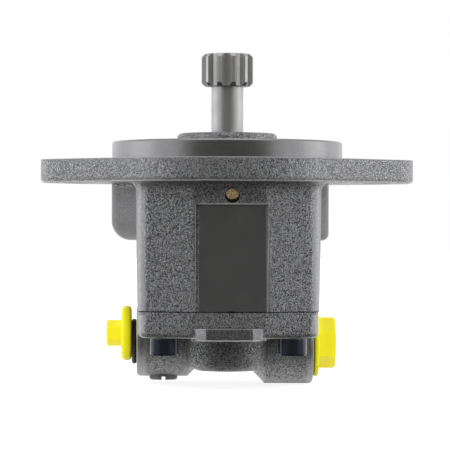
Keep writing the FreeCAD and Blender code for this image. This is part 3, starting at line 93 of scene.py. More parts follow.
def grid_mesh(name, points, material, body, sharp=32.0):
    """Closed mesh from a grid of points, shape (rows, columns, 3), sharp beyond so many degrees.

    Columns run once round the axis and join up. The first and last rows are closed by a fan when
    they have shrunk to a point, and joined to each other otherwise, as on a ring.
    """
    rows, columns = points.shape[:2]
    index = np.arange(rows * columns).reshape(rows, columns)
    capped = np.ptp(points[0], axis=0).max() < 1e-9
    here = index[1:-1] if capped else index
    below = here[:-1] if capped else here
    above = here[1:] if capped else np.roll(here, -1, axis=0)
    quads = np.stack([below, np.roll(below, -1, axis=1), np.roll(above, -1, axis=1), above],
                     axis=-1)
    faces = quads.reshape(-1, 4).tolist()
    if capped:
        first, last = here[0], here[-1]
        start, end = int(index[0, 0]), int(index[-1, 0])
        faces += np.stack([np.full(columns, start), np.roll(first, -1), first], axis=-1).tolist()
        faces += np.stack([np.full(columns, end), last, np.roll(last, -1)], axis=-1).tolist()
    mesh = bpy.data.meshes.new(name)
    mesh.from_pydata(points.reshape(-1, 3).tolist(), [], faces)
    if capped:
        drop_vertices(mesh, np.concatenate([index[0, 1:], index[-1, 1:]]))
    mesh.polygons.foreach_set("use_smooth", np.ones(len(mesh.polygons), dtype=bool))
    mesh.set_sharp_from_angle(angle=math.radians(sharp))
    mesh.materials.append(material)
    piece = bpy.data.objects.new(name, mesh)
    bpy.context.scene.collection.objects.link(piece)
    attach(piece, body)
    return piece


def drop_vertices(mesh, numbers):
    """Takes the vertices with these numbers out of a mesh that no face uses them in."""
    work = bmesh.new()
    work.from_mesh(mesh)
    work.verts.ensure_lookup_table()
    bmesh.ops.delete(work, geom=[work.verts[int(n)] for n in numbers], context="VERTS")
    work.to_mesh(mesh)
    work.free()


def hexagon_reach(angle, corner_reach, rounding):
    """Distance from the axis to a hexagon's side at an angle, with its six corners rounded.

    With the angle counted from the nearest corner, a flat lies at apothem / cos(30 - angle), and
    near the corner the reach is that of a circle of the rounding's radius inside it.
    """
    apothem = corner_reach * math.cos(HALF_SIDE)
    centre = (apothem - rounding) / math.cos(HALF_SIDE)
    offset = (angle + HALF_SIDE) % (2 * HALF_SIDE) - HALF_SIDE
    flat = apothem / np.cos(HALF_SIDE - np.abs(offset))
    inside = np.clip(rounding ** 2 - (centre * np.sin(offset)) ** 2, 0, None)
    arc = centre * np.cos(offset) + np.sqrt(inside)
    start = HALF_SIDE - math.atan((apothem - rounding) * math.tan(HALF_SIDE) / apothem)
    return np.where(np.abs(offset) < start, arc, flat)


def thread_wave(along, angle, pitch, crest, foot):
    """Height of a right-hand thread from 0 at its root to 1 at its crest.

    The way along the axis and the turn round it make one phase, along / pitch - angle / full turn.
    The height is 1 within crest of the middle of the phase, 0 beyond foot, and straight between.
    """
    away = np.abs((along / pitch - angle / (2 * math.pi)) % 1.0 - 0.5)
    return np.clip((foot - away) / (foot - crest), 0, 1)


def on_port_axis(along, reach, angle, origin, way):
    """Points round an axis on X, given as the way out along it, the reach from it and the turn.

    The reach is a grid, while the way may be a column and the turn a row. The port on the left
    points to -X, so there the whole is turned half way round Y.
    """
    x = np.broadcast_to(along, reach.shape)
    points = np.stack([x * way, reach * np.cos(angle), reach * np.sin(angle) * way], axis=-1)
    return points + np.array(origin)


def round_profile(corners, steps):
    """Profile points (along, radius) with each corner that has a rounding turned into an arc.

    A corner is (along, radius, rounding). The arc touches both sides of the corner, and its points
    follow the quadratic curve through the two touching points with the corner as control.
    """
    result = []
    for number, (along, radius, rounding) in enumerate(corners):
        here = np.array([along, radius])
        if rounding == 0 or number in (0, len(corners) - 1):
            result.append(here)
            continue
        before = np.array(corners[number - 1][:2]) - here
        after = np.array(corners[number + 1][:2]) - here
        start = here + before * min(0.5, rounding / np.linalg.norm(before))
        end = here + after * min(0.5, rounding / np.linalg.norm(after))
        share = np.linspace(0, 1, steps + 1)[:, None]
        result.extend((1 - share) ** 2 * start + 2 * share * (1 - share) * here
                      + share ** 2 * end)
    return np.array(result)


# Shader building

class Tree:
    """Adds nodes to a node tree and wires each value or socket that it is given."""

    def __init__(self, tree):
        self.tree = tree

    def wire(self, socket, value):
        if isinstance(value, bpy.types.NodeSocket):
            self.tree.links.new(value, socket)
        elif value is not None:
            socket.default_value = value

    def node(self, kind, inputs=(), **settings):
        node = self.tree.nodes.new(kind)
        for key, value in settings.items():
            setattr(node, key, value)
        for key, value in dict(inputs).items():
            self.wire(node.inputs[key], value)
        return node

    def math(self, operation, *values, clamp=False):
        return self.node("ShaderNodeMath", dict(enumerate(values)), operation=operation,
                         use_clamp=clamp).outputs[0]

    def product(self, *values):
        """All the values multiplied together."""
        return reduce(lambda first, second: self.math("MULTIPLY", first, second), values)

    def most(self, *values):
        """The highest of the values."""
        return reduce(lambda first, second: self.math("MAXIMUM", first, second), values)

    def vector(self, operation, *values):
        """Vector maths; the result is a number where the operation gives one."""
        node = self.node("ShaderNodeVectorMath", dict(enumerate(values)), operation=operation)
        return node.outputs["Value" if operation in ("DOT_PRODUCT", "LENGTH") else "Vector"]

    def parts(self, vector):
        """X, Y and Z of a vector."""
        return self.node("ShaderNodeSeparateXYZ", {0: vector}).outputs

    def from_axis(self, x, y):
        """Distance from the shaft's axis, sqrt(x x + y y)."""
        return self.math("SQRT", self.math("ADD", self.product(x, x), self.product(y, y)))

    def fade(self, value, low, high, to_low=0.0, to_high=1.0):
        """Smooth step of a value from to_low at low to to_high at high."""
        return self.node("ShaderNodeMapRange", {
            "Value": value, "From Min": low, "From Max": high, "To Min": to_low,
            "To Max": to_high}, interpolation_type="SMOOTHSTEP").outputs[0]

    def mix(self, share, first, second):
        """Colour between two colours by share."""
        return self.node("ShaderNodeMix", {0: share, 6: first, 7: second},
                         data_type="RGBA").outputs[2]

    def blend(self, share, first, second):
        """Number between two numbers by share."""
        return self.node("ShaderNodeMix", {0: share, 2: first, 3: second},
                         data_type="FLOAT").outputs[0]

    def noise(self, vector, scale, detail=2.0, roughness=0.5, distortion=0.0):
        return self.node("ShaderNodeTexNoise", {
            "Vector": vector, "Scale": scale, "Detail": detail, "Roughness": roughness,
            "Distortion": distortion}).outputs[0]

    def cells(self, vector, scale):
        """Distance to the nearest of many scattered points."""
        return self.node("ShaderNodeTexVoronoi",
                         {"Vector": vector, "Scale": scale}).outputs["Distance"]

    def bump(self, height, distance, normal=None):
        return self.node("ShaderNodeBump", {
            "Height": height, "Distance": distance, "Normal": normal}).outputs[0]

    def group(self, name, **inputs):
        return self.node("ShaderNodeGroup", inputs,
                         node_tree=bpy.data.node_groups[name]).outputs


def new_group(name, inputs, outputs):
    """Empty shader node group with named float or vector sockets."""
    kinds = {"float": "NodeSocketFloat", "vector": "NodeSocketVector"}
    group = bpy.data.node_groups.new(name, "ShaderNodeTree")
    for sockets, way in ((inputs, "INPUT"), (outputs, "OUTPUT")):
        for socket, kind in sockets.items():
            group.interface.new_socket(socket, in_out=way, socket_type=kinds[kind])
    tree = Tree(group)
    return tree, tree.node("NodeGroupInput").outputs, tree.node("NodeGroupOutput").inputs


def make_cast_skin_group():
    """Sand-cast skin after blasting: crowded short worms, finer sand marks and scattered pits."""
    tree, given, out = new_group(
        "Cast Skin", {"Vector": "vector", "Grain": "float", "Pits": "float"},
        {"Height": "float", "Tone": "float"})
    vector, grain = given["Vector"], given["Grain"]
    warp = tree.node("ShaderNodeTexNoise", {
        "Vector": vector, "Scale": tree.product(grain, 0.45), "Detail": 1.0}).outputs["Color"]
    shift = tree.vector("SUBTRACT", warp, (0.5, 0.5, 0.5))
    bent = tree.vector("MULTIPLY_ADD", shift, (CAST_WARP, CAST_WARP, CAST_WARP), vector)
    coarse = tree.noise(bent, grain, 1.0)
    ridge = tree.math("ABSOLUTE", tree.math("SUBTRACT", coarse, 0.5))
    worms = tree.fade(ridge, 0.0, 0.11)
    fine = tree.noise(vector, tree.product(grain, 2.1), 1.0)
    swell = tree.noise(vector, tree.product(grain, 0.13))
    grains = tree.math("MULTIPLY_ADD", fine, 0.55, tree.product(worms, 0.55))
    pit_field = tree.cells(vector, tree.product(grain, 0.22))
    pits = tree.product(tree.fade(pit_field, 0.06, 0.14, 1.0, 0.0), given["Pits"])
    height = tree.math("SUBTRACT", tree.math("MULTIPLY_ADD", swell, 0.8, grains), pits)
    tree.wire(out["Height"], height)
    mottle = tree.math("MULTIPLY_ADD", worms, 0.6, tree.product(fine, 0.4))
    tree.wire(out["Tone"], tree.math("SUBTRACT", tree.fade(mottle, 0.16, 0.88),
                                     tree.product(pits, 0.6), clamp=True))


def make_turned_group():
    """Tool marks of turning: fine lines that keep their distance from the axis and height."""
    tree, given, out = new_group("Turned Marks", {"Vector": "vector", "Pitch": "float"},
                                 {"Height": "float", "Stain": "float"})
    x, y, z = tree.parts(given["Vector"])
    line = tree.math("DIVIDE", tree.math("ADD", tree.from_axis(x, y), z), given["Pitch"])
    place = tree.node("ShaderNodeCombineXYZ", {0: line}).outputs[0]
    tree.wire(out["Height"], tree.noise(place, 1.0, 3.0, 0.6))
    tree.wire(out["Stain"], tree.noise(given["Vector"], 140.0, 4.0, 0.6))


def make_region_group():
    """1 inside a box of the object's space with soft edges, 0 outside."""
    tree, given, out = new_group(
        "Inside Box", {"Vector": "vector", "Centre": "vector", "Half": "vector", "Edge": "float"},
        {"Inside": "float"})
    away = tree.vector("ABSOLUTE", tree.vector("SUBTRACT", given["Vector"], given["Centre"]))
    over = tree.most(*tree.parts(tree.vector("SUBTRACT", away, given["Half"])))
    share = tree.math("DIVIDE", over, given["Edge"])
    tree.wire(out["Inside"], tree.fade(share, -0.5, 0.5, 1.0, 0.0))


def new_material(name):
    """Material with one Principled shader; gives it, its tree helper and its object coordinates."""
    material = bpy.data.materials.new(name)
    material.use_nodes = True
    tree = Tree(material.node_tree)
    return material, tree, tree.node("ShaderNodeTexCoord").outputs["Object"]


def shade(material, tree, values):
    """Wires the Principled shader's inputs by their names and gives the material back."""
    shader = material.node_tree.nodes["Principled BSDF"]
    for name, value in values.items():
        tree.wire(shader.inputs[name], value)
    return material


def grey(level, tint=(1.0, 1.0, 1.0)):
    return (level * tint[0], level * tint[1], level * tint[2], 1.0)


# Where the castings' finishes change, from and to, in millimetres

SPANS = {
    "face": (-0.5, -0.2),  # height above which the flange and the pilot are machined
    "nose": (18.6, 19.0),  # reach of the cast nose from the shaft's axis
    "rim": (-9.5, -8.5),  # height of the flange's rim
    "ears": (14.0, 30.0),  # to the side, over which the rim turns smoother
    "corner": (28.0, 29.8),  # to the side, the block's smooth corners, painted lighter as painted highlight
    "wing": (31.0, 32.8),  # to the side, the wings, darkened as painted shade
    "left boss": (-32.38, -32.3),  # to the side, face of the left port's boss
    "right boss": (31.32, 31.38),
    "boss top": (-63.4, -63.0),  # height below which the bosses' faces are machined
    "front": (-23.0, -22.0),  # depth in front of which the painted highlight along the plate's seam shows
    "rib": (-38.2, -37.6),  # depth in front of which the rib stands out
    "rib sides": (-37.6, -37.0),  # depth in front of which the rib's facets are smooth and painted lighter as painted highlight
    "rib facets": (7.8, 8.4),  # to the side, where the facets begin
    "rib crest": (7.8, 8.2),  # to the side, where the painted shade on the rib's middle ends
    "bosses": (12.0, 16.0),  # to the side, the cover's bosses, beyond which painted shade lies under the plate
}
BLOCK_TOP = -9.0 * MM  # underside of the flange
RIM_SEAM_HIGHLIGHT = -8.3 * MM  # height of the painted highlight along the seam round the flange's rim
PAD_MIDDLE = (1.7 * MM, -36.0 * MM, -34.9 * MM)
PAD_HALF = (12.2 * MM, 1.0 * MM, 18.65 * MM)
PAD_HEAD = (1.7 * MM, -37.0 * MM, -16.05 * MM)  # painted highlight along the pad's upper end
PAD_HEAD_HALF = (12.2 * MM, 2.0 * MM, 0.22 * MM)
NICK = (0.9 * MM, -38.0 * MM, JOINT_HEIGHT)  # small dark nick at the front of the joint
NICK_HALF = (1.1 * MM, 3.0 * MM, 0.35 * MM)
SOFT_EDGE = 0.1 * MM
SEAM_HIGHLIGHT_WIDTH = 0.5 * MM  # width of the painted highlight lines along the castings' seams
CAST_WARP = 0.7 * MM  # how far the cast grain's worms bend
# How far the painted shade in crevices reaches
CREVICE_REACH = 0.9 * MM
# Near black: the colour of the dark joint line, and of the painted shade in crevices
DIRT_AND_SHADE = (0.030, 0.028, 0.025, 1)
WARM, COOL = (1.0, 0.99, 0.97), (0.99, 0.995, 1.0)  # tints of dark and of light iron


def inside(tree, place, centre, half, edge=SOFT_EDGE):
    """1 inside a box of the object's space, 0 outside."""
    return tree.group("Inside Box", Vector=place, Centre=centre, Half=half, Edge=edge)["Inside"]


def span(tree, value, name, first=0.0, last=1.0):
    """Fade over one of the SPANS."""
    low, high = SPANS[name]
    return tree.fade(value, low * MM, high * MM, first, last)


# Finishes

def edge_wear_highlight_and_crevice_shade(tree, radius):
    """Normal with the edges rounded by a radius, a mask of the outer edges and one of crevices.

    On an outer edge much of what lies within the radius under the surface is outside the piece; the
    finishes paint these edges lighter: a painted highlight, and on the iron and the black oxide
    worn bare metal as well. In crevices nearby surfaces hide much of what lies above them, and
    there the finishes paint shade.
    """
    soft = tree.node("ShaderNodeBevel", {"Radius": radius}, samples=6).outputs[0]
    solid = tree.node("ShaderNodeAmbientOcclusion", {"Distance": radius * 1.3}, samples=12,
                      inside=True, only_local=True).outputs["AO"]
    open_sky = tree.node("ShaderNodeAmbientOcclusion", {"Distance": CREVICE_REACH},
                         samples=10).outputs["AO"]
    return soft, tree.fade(solid, 0.50, 0.88, 1.0, 0.0), tree.fade(open_sky, 0.40, 0.85, 1.0, 0.0)


def cast_material(name, settings, masks):
    """Cast iron. masks(tree, place) gives its machined regions, its smoother regions painted
    lighter as painted highlight, its regions of painted shade and its seam lines of painted
    highlight.
    """
    material, tree, place = new_material(name)
    skin = tree.group("Cast Skin", Vector=place, Grain=settings.grain, Pits=settings.pits)
    turned = tree.group("Turned Marks", Vector=place, Pitch=0.30 * MM)
    machined, smooth, painted_shade, seam_highlight = masks(tree, place)
    soft, edge, crevice_shade = edge_wear_highlight_and_crevice_shade(tree, settings.edge_round)
    joint = joint_line(tree, place)
    rough_tone = tree.mix(skin["Tone"], grey(settings.dark, (1.0, 0.99, 0.965)),
                          grey(settings.light, COOL))
    # Smoother corners and facets take a lighter colour: a painted highlight
    rough_tone = tree.mix(tree.product(smooth, 0.7), rough_tone, grey(settings.smooth))
    # Wings, under the plate and the rib's middle take a dark colour: painted shade
    rough_tone = tree.mix(tree.product(painted_shade, 0.7), rough_tone, grey(settings.shaded))
    machined_tone = tree.mix(turned["Stain"], grey(settings.machined_dark, WARM),
                             grey(settings.machined_light))
    tone = tree.mix(machined, rough_tone, machined_tone)
    # Near black on the joint line, and painted shade in crevices
    tone = tree.mix(tree.most(tree.product(crevice_shade, 0.7), joint), tone, DIRT_AND_SHADE)
    # Edges turn lighter and less metallic: partly worn bare metal, partly painted highlight; along
    # the seam lines it is painted highlight only
    wear_and_highlight = tree.product(tree.most(edge, seam_highlight), settings.edge_wear_and_highlight)
    wear_and_highlight = tree.product(wear_and_highlight, tree.math("SUBTRACT", 1.0, joint))
    roughness = tree.blend(smooth, tree.blend(skin["Tone"], 0.50, 0.36), 0.32)
    relief = tree.product(skin["Height"], tree.blend(smooth, 1.0, 0.3))
    height = tree.blend(machined, relief, tree.product(turned["Height"], 0.018))
    return shade(material, tree, {
        "Base Color": tree.mix(wear_and_highlight, tone, grey(settings.edge_light)),
        "Roughness": tree.blend(machined, roughness, 0.27),
        "Metallic": tree.blend(wear_and_highlight, settings.metallic, 0.5),
        "Normal": tree.bump(height, settings.depth * MM, soft)})


def off_level(tree, place, level, scale, wander):
    """How far a place is above or below a level that noise of a scale moves up and down."""
    height = tree.math("MULTIPLY_ADD", tree.noise(place, scale), wander, tree.parts(place)[2])
    return tree.math("ABSOLUTE", tree.math("SUBTRACT", height, level + wander / 2))


def joint_line(tree, place):
    """Dark line where the cover meets the housing, slightly uneven, and a nick in its front."""
    away = off_level(tree, place, JOINT_HEIGHT, 900.0, 0.25 * MM)
    return tree.most(tree.fade(away, 0.10 * MM, 0.30 * MM, 1.0, 0.0),
                     inside(tree, place, NICK, NICK_HALF, 2 * SOFT_EDGE))


def seam_highlight_line(tree, place, height):
    """Painted highlight along a thin seam that runs level round a casting just above a height, a
    little uneven.
    """
    away = off_level(tree, place, height + SEAM_HIGHLIGHT_WIDTH / 2, 260.0, 0.5 * MM)
    return tree.fade(away, SEAM_HIGHLIGHT_WIDTH * 0.35, SEAM_HIGHLIGHT_WIDTH * 0.65, 1.0, 0.0)


def side_masks(tree, place, below):
    """Masks of the smoother corners and sides of the block, painted lighter as painted highlight,
    and of the wings beside it, painted darker as painted shade.
    """
    x, _, z = tree.parts(place)
    side = tree.math("ABSOLUTE", x)
    low = tree.fade(z, below - 1.5 * MM, below, 1.0, 0.0)
    return [tree.product(span(tree, side, name), low) for name in ("corner", "wing")]


def housing_masks(tree, place):
    """Machined: pilot and mounting face outside the nose boss, and the milled pad. Smoother and
    lighter: the corners, a painted highlight, and the rim. Painted shade: the wings. Painted
    highlight: along the rim's seam and the pad's upper end.
    """
    x, y, z = tree.parts(place)
    flat = tree.product(span(tree, z, "face"), span(tree, tree.from_axis(x, y), "nose"))
    machined = tree.most(flat, inside(tree, place, PAD_MIDDLE, PAD_HALF))
    smooth, wing = side_masks(tree, place, BLOCK_TOP)
    ears = tree.product(span(tree, z, "rim"), span(tree, tree.math("ABSOLUTE", x), "ears"), 0.5)
    # Painted highlight lines along the rim's seam and the pad's upper end
    seam_highlight = tree.most(tree.product(seam_highlight_line(tree, place, RIM_SEAM_HIGHLIGHT), 0.8),
                      tree.product(inside(tree, place, PAD_HEAD, PAD_HEAD_HALF), 0.7))
    return machined, tree.most(smooth, ears), wing, seam_highlight


def cover_masks(tree, place):
    """Machined: faces of the two port bosses. Painted shade: under the plate, and the rib's middle.
    Smoother and painted lighter as painted highlight: the corners and the rib's side facets;
    painted highlight along the plate's seam.
    """
    x, y, z = tree.parts(place)
    side = tree.math("ABSOLUTE", x)
    faces = tree.most(span(tree, x, "left boss", 1.0, 0.0), span(tree, x, "right boss"))
    machined = tree.product(faces, span(tree, z, "boss top", 1.0, 0.0))
    on_rib = span(tree, y, "rib", 1.0, 0.0)
    # Painted highlight line along the plate's seam, 0.7 mm lower on the rib
    line = tree.blend(on_rib, seam_highlight_line(tree, place, PLATE_HEIGHT),
                      seam_highlight_line(tree, place, PLATE_HEIGHT - 0.7 * MM))
    seam_highlight = tree.product(line, span(tree, y, "front", 1.0, 0.0))
    smooth, _ = side_masks(tree, place, JOINT_HEIGHT)
    facets = tree.product(span(tree, side, "rib facets"), span(tree, y, "rib sides", 1.0, 0.0),
                          0.8)
    # Painted shade under the plate beyond the bosses, and on the rib's middle
    under = tree.product(span(tree, side, "bosses"), tree.fade(
        z, PLATE_HEIGHT - 1.0 * MM, PLATE_HEIGHT + 0.3 * MM, 0.6, 0.0))
    crest = tree.product(on_rib, span(tree, side, "rib crest", 0.8, 0.0))
    return machined, tree.most(smooth, facets), tree.most(under, crest), seam_highlight


def steel_material(name, level, roughness, metallic=0.88, under=0.0):
    """Turned or ground steel: fine tool lines round the axis, faint stains and spots, painted shade
    on the undersides and in crevices, and edges painted lighter as a painted highlight.
    """
    material, tree, place = new_material(name)
    marks = tree.group("Turned Marks", Vector=place, Pitch=0.1 * MM)
    soft, edge, crevice_shade = edge_wear_highlight_and_crevice_shade(tree, 0.18 * MM)
    tone = tree.mix(marks["Stain"], grey(level * 0.82, WARM), grey(level * 1.08, WARM))
    spots = tree.fade(tree.cells(place, 210.0), 0.04, 0.09, 0.5, 0.0)
    facing = tree.parts(tree.node("ShaderNodeNewGeometry").outputs["True Normal"])[2]
    # Darker on stain spots, and painted shade in crevices and on faces that look down
    spots_and_shade = tree.most(tree.product(crevice_shade, 0.75), spots,
                     tree.fade(facing, -0.45, -0.2, under, 0.0))
    tone = tree.mix(spots_and_shade, tone, grey(level * 0.12, WARM))
    uneven = tree.bump(tree.noise(place, 170.0), 0.09 * MM, soft)
    return shade(material, tree, {
        # Edges painted lighter: a painted highlight
        "Base Color": tree.mix(tree.product(edge, 0.5), tone, grey(min(1.0, level * 1.3), WARM)),
        "Roughness": tree.fade(marks["Stain"], 0.3, 0.7, roughness * 1.15, roughness * 0.85),
        "Metallic": metallic,
        "Normal": tree.bump(marks["Height"], 0.004 * MM, uneven)})


def black_oxide_material():
    """Black oxide on steel: bluish black, slightly oily, worn a little lighter in patches, and
    lighter on the edges, partly worn and partly a painted highlight.
    """
    material, tree, place = new_material("Black Oxide Steel")
    patches = tree.noise(place, 420.0, 3.0, 0.6)
    tone = tree.mix(patches, (0.030, 0.033, 0.044, 1), (0.075, 0.080, 0.105, 1))
    soft, edge, _ = edge_wear_highlight_and_crevice_shade(tree, 0.22 * MM)
    # Edges turn lighter and less metallic: partly worn bare metal, partly painted highlight
    wear_and_highlight = tree.product(edge, 0.8)
    return shade(material, tree, {
        "Base Color": tree.mix(wear_and_highlight, tone, (0.42, 0.43, 0.46, 1)),
        "Roughness": tree.fade(patches, 0.3, 0.7, 0.28, 0.18),
        "Metallic": tree.blend(wear_and_highlight, 0.9, 0.2),
        "Coat Weight": 0.25, "Coat Roughness": 0.22,
        "Normal": tree.bump(tree.noise(place, 2600.0), 0.012 * MM, soft)})


def sintered_brass_material():
    """Pressed and sintered brass grains with open pores between them, and a painted shadow where
    the hole's lip shades the plug's face.
    """
    material, tree, place = new_material("Sintered Brass")
    grains = tree.cells(place, 1700.0)
    pores = tree.noise(place, 900.0, 3.0, 0.7)
    tone = tree.mix(tree.fade(grains, 0.1, 0.6), (0.86, 0.68, 0.36, 1), (0.30, 0.22, 0.10, 1))
    tone = tree.mix(tree.fade(pores, 0.35, 0.6, 0.4, 0.0), tone, (0.06, 0.04, 0.02, 1))
    # Painted shadow of the hole's lip: outside an ellipse a little above the plug's middle the
    # brass turns nearly black
    side, _, height = middle_of("weep_plug")
    reach = tree.vector("SUBTRACT", place, (side, 0.0, height + 0.5 * MM))
    reach = tree.vector("MULTIPLY", reach, (1 / (2.3 * MM), 0.0, 1 / (1.8 * MM)))
    rim = tree.fade(tree.vector("LENGTH", reach), 0.85, 1.1)
    return shade(material, tree, {
        "Base Color": tree.mix(rim, tone, (0.012, 0.009, 0.005, 1)),
        "Roughness": tree.fade(grains, 0.1, 0.6, 0.4, 0.7),
        "Metallic": 0.4,
        "Normal": tree.bump(tree.fade(grains, 0.0, 0.7, 1.0, 0.0), 0.12 * MM)})


def bronze_material():
    """Bored bearing bronze."""
    material, tree, place = new_material("Bearing Bronze")
    marks = tree.group("Turned Marks", Vector=place, Pitch=0.15 * MM)
    return shade(material, tree, {
        "Base Color": tree.mix(marks["Stain"], (0.40, 0.25, 0.10, 1), (0.58, 0.39, 0.18, 1)),
        "Metallic": 1.0,
        "Roughness": tree.fade(marks["Stain"], 0.3, 0.7, 0.42, 0.3),
        "Normal": tree.bump(marks["Height"], 0.004 * MM)})


def rubber_material():
    """Moulded black rubber, matt with a faint bloom."""
    material, tree, place = new_material("Black Rubber")
    bloom = tree.noise(place, 260.0, 3.0, 0.6)
    return shade(material, tree, {
        "Base Color": tree.mix(bloom, (0.010, 0.010, 0.011, 1), (0.026, 0.026, 0.028, 1)),
        "Roughness": tree.fade(bloom, 0.3, 0.7, 0.42, 0.56),
        "Normal": tree.bump(tree.noise(place, 1800.0), 0.01 * MM)})


def yellow_plastic_material(settings):
    """Moulded translucent polyethylene: waxy gloss, light scattered inside, faint flow marks."""
    material, tree, place = new_material("Yellow Plastic")
    flow = tree.noise(place, 120.0, 3.0, 0.55, 0.6)
    height = tree.math("MULTIPLY_ADD", flow, 1.0, tree.product(tree.noise(place, 2200.0), 0.12))
    return shade(material, tree, {
        "Base Color": tree.mix(flow, tuple(settings.deep) + (1,), tuple(settings.bright) + (1,)),
        "Roughness": tree.fade(flow, 0.3, 0.7, 0.34, 0.42),
        "Specular IOR Level": 0.3,
        "Subsurface Weight": settings.scatter,
        "Subsurface Radius": (1.0, 0.75, 0.12),
        "Subsurface Scale": settings.scatter_depth * MM,
        "Normal": tree.bump(height, 0.05 * MM)})


# Ports and plugs, along each port's axis from its boss's face, outwards

def plug_plan(face, height, way, flange, **lengths):
    """A port with its plug: lengths and flange corners are given in millimetres, kept in metres."""
    plan = {name: length * MM for name, length in lengths.items()}
    plan["flange"] = [tuple(length * MM for length in corner) for corner in flange]
    return {"origin": (face, PORT_DEPTH, height), "way": way, **plan}


LEFT_GRIP, RIGHT_GRIP = 6.6, 9.0  # how far the plugs stand in their ports, in millimetres
PORT_DEPTH = middle_of("left_port_plug")[1]
PLUGS = {
    "left": plug_plan(
        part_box("left_port_plug")[1][0] - LEFT_GRIP * MM, middle_of("left_port_plug")[2], -1,
        [(-0.05, 4.6, 0), (0, 3.4, 0.3), (1.9, 3.4, 0.3), (1.9, 9.95, 1.5), (5.6, 9.95, 1.9),
         (5.6, 5.3, 0)],
        grip=LEFT_GRIP, shank=6.15, shoulder=-0.05, corner=4.8, head_from=5.6, head_length=5.4,
        chamfer=0.6, hole=6.25, thread_from=-0.25, thread_to=-8.2),
    "right": plug_plan(
        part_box("right_port_plug")[0][0] + RIGHT_GRIP * MM, middle_of("right_port_plug")[2], 1,
        [(-0.3, 7.95, 0), (0.4, 7.95, 0.2), (0.4, 12.2, 0.6), (2.1, 12.2, 0.7), (2.1, 9.7, 0)],
        grip=RIGHT_GRIP, shank=8.75, shoulder=-0.3, corner=9.3, head_from=2.1, head_length=6.2,
        chamfer=0.8, hole=8.85, thread_from=-1.45, thread_to=-10.2),
}
CORNER_TURN = HALF_SIDE  # as in the CAD, two corners of a plug's hexagon point up and down
CORNER_STEPS = (0, 1, 2, 3, 5, 8, 13, 20, 30)  # degrees to both sides of a hexagon's corner
ROWS_PER_PITCH = 9
PLUG_THREAD = {"crest": 0.09, "foot": 0.398}  # half widths in pitches
PORT_THREAD = {"crest": 0.06, "foot": 0.33}
LEAD_IN = 0.1 * MM  # flat at the inner end of a plug's shank
RISE, FALL = 1.1 * MM, 0.9 * MM  # lengths over which a plug's thread begins and ends
PORT_FALL = 0.6 * MM  # the same at the inner end of a port's thread
THREAD_PLAY = 0.09 * MM
PORT_WALL = 0.06 * MM  # how far a port's thread reaches into the iron
HEAD_EDGE = 0.16 * MM  # rounding of the head's outer end
HEAD_FOOT = 0.3 * MM  # rounding where the head meets the flange
MOULD_LINE = 0.035 * MM  # height of a ring's mould line


# Settings

SHARE = {"subtype": "FACTOR", "min": 0.0, "max": 1.0}
LENGTH = {"unit": "LENGTH"}
ANGLE = {"subtype": "ANGLE"}


def number(name, description, default, **more):
    return bpy.props.FloatProperty(name=name, description=description, default=default, **more)


def swatch(name, description, default):
    return bpy.props.FloatVectorProperty(name=name, description=description, default=default,
                                         subtype="COLOR", min=0.0, max=1.0)


class PumpCastSettings(bpy.types.PropertyGroup):
    grain: number("Grain", "Cast grains per metre", 1650.0, min=50.0)
    depth: number("Depth", "Height of the cast grain in millimetres", 0.34, min=0.0)
    pits: number("Pits", "Depth of the scattered pits against the grain", 0.6)
    dark: number("Dark", "Reflectance in the hollows of the cast skin", 0.09)
    light: number("Light", "Reflectance on the crests of the cast skin", 0.58)
    # Lighter colour of the smoother corners and facets, a painted highlight
    smooth: number("Smooth", "Reflectance of the smoother corners and sides", 0.56)
    # Dark colour of the painted shade on the wings, under the plate and on the rib's middle
    shaded: number("Shaded", "Reflectance of the wings and under the plate", 0.10)
    machined_dark: number("Machined dark", "Darkest reflectance of machined faces", 0.29)
    machined_light: number("Machined light", "Lightest reflectance of machined faces", 0.42)
    metallic: number("Metallic", "Share of metal in the finish", 0.96, **SHARE)
    edge_round: number("Edge round", "Rounding that the sharp edges show", 0.4 * MM, **LENGTH)
    # The edges' lighter colour: partly worn bare metal, partly painted highlight
    edge_wear_and_highlight: number("Edge wear", "Share of bare metal on the edges", 0.8, **SHARE)
    edge_light: number("Edge light", "Reflectance of the bare metal on the edges", 0.55)


class PumpPlasticSettings(bpy.types.PropertyGroup):
    bright: swatch("Bright", "Plug colour where it is lightest", (0.95, 0.88, 0.008))
    deep: swatch("Deep", "Plug colour where it is deepest", (0.90, 0.80, 0.004))
    scatter: number("Scatter", "Share of light scattered inside", 0.6, **SHARE)
    scatter_depth: number("Scatter depth", "How far light travels inside, in millimetres", 3.0,
                          min=0.0)
    thread_pitch: number("Thread pitch", "Port thread pitch", 1.5 * MM, **LENGTH)
    thread_depth: number("Thread depth", "Port thread from root to crest", 0.8 * MM, **LENGTH)
    corner_round: number("Corner round", "Rounding of the hexagons' corners", 0.35 * MM, **LENGTH)


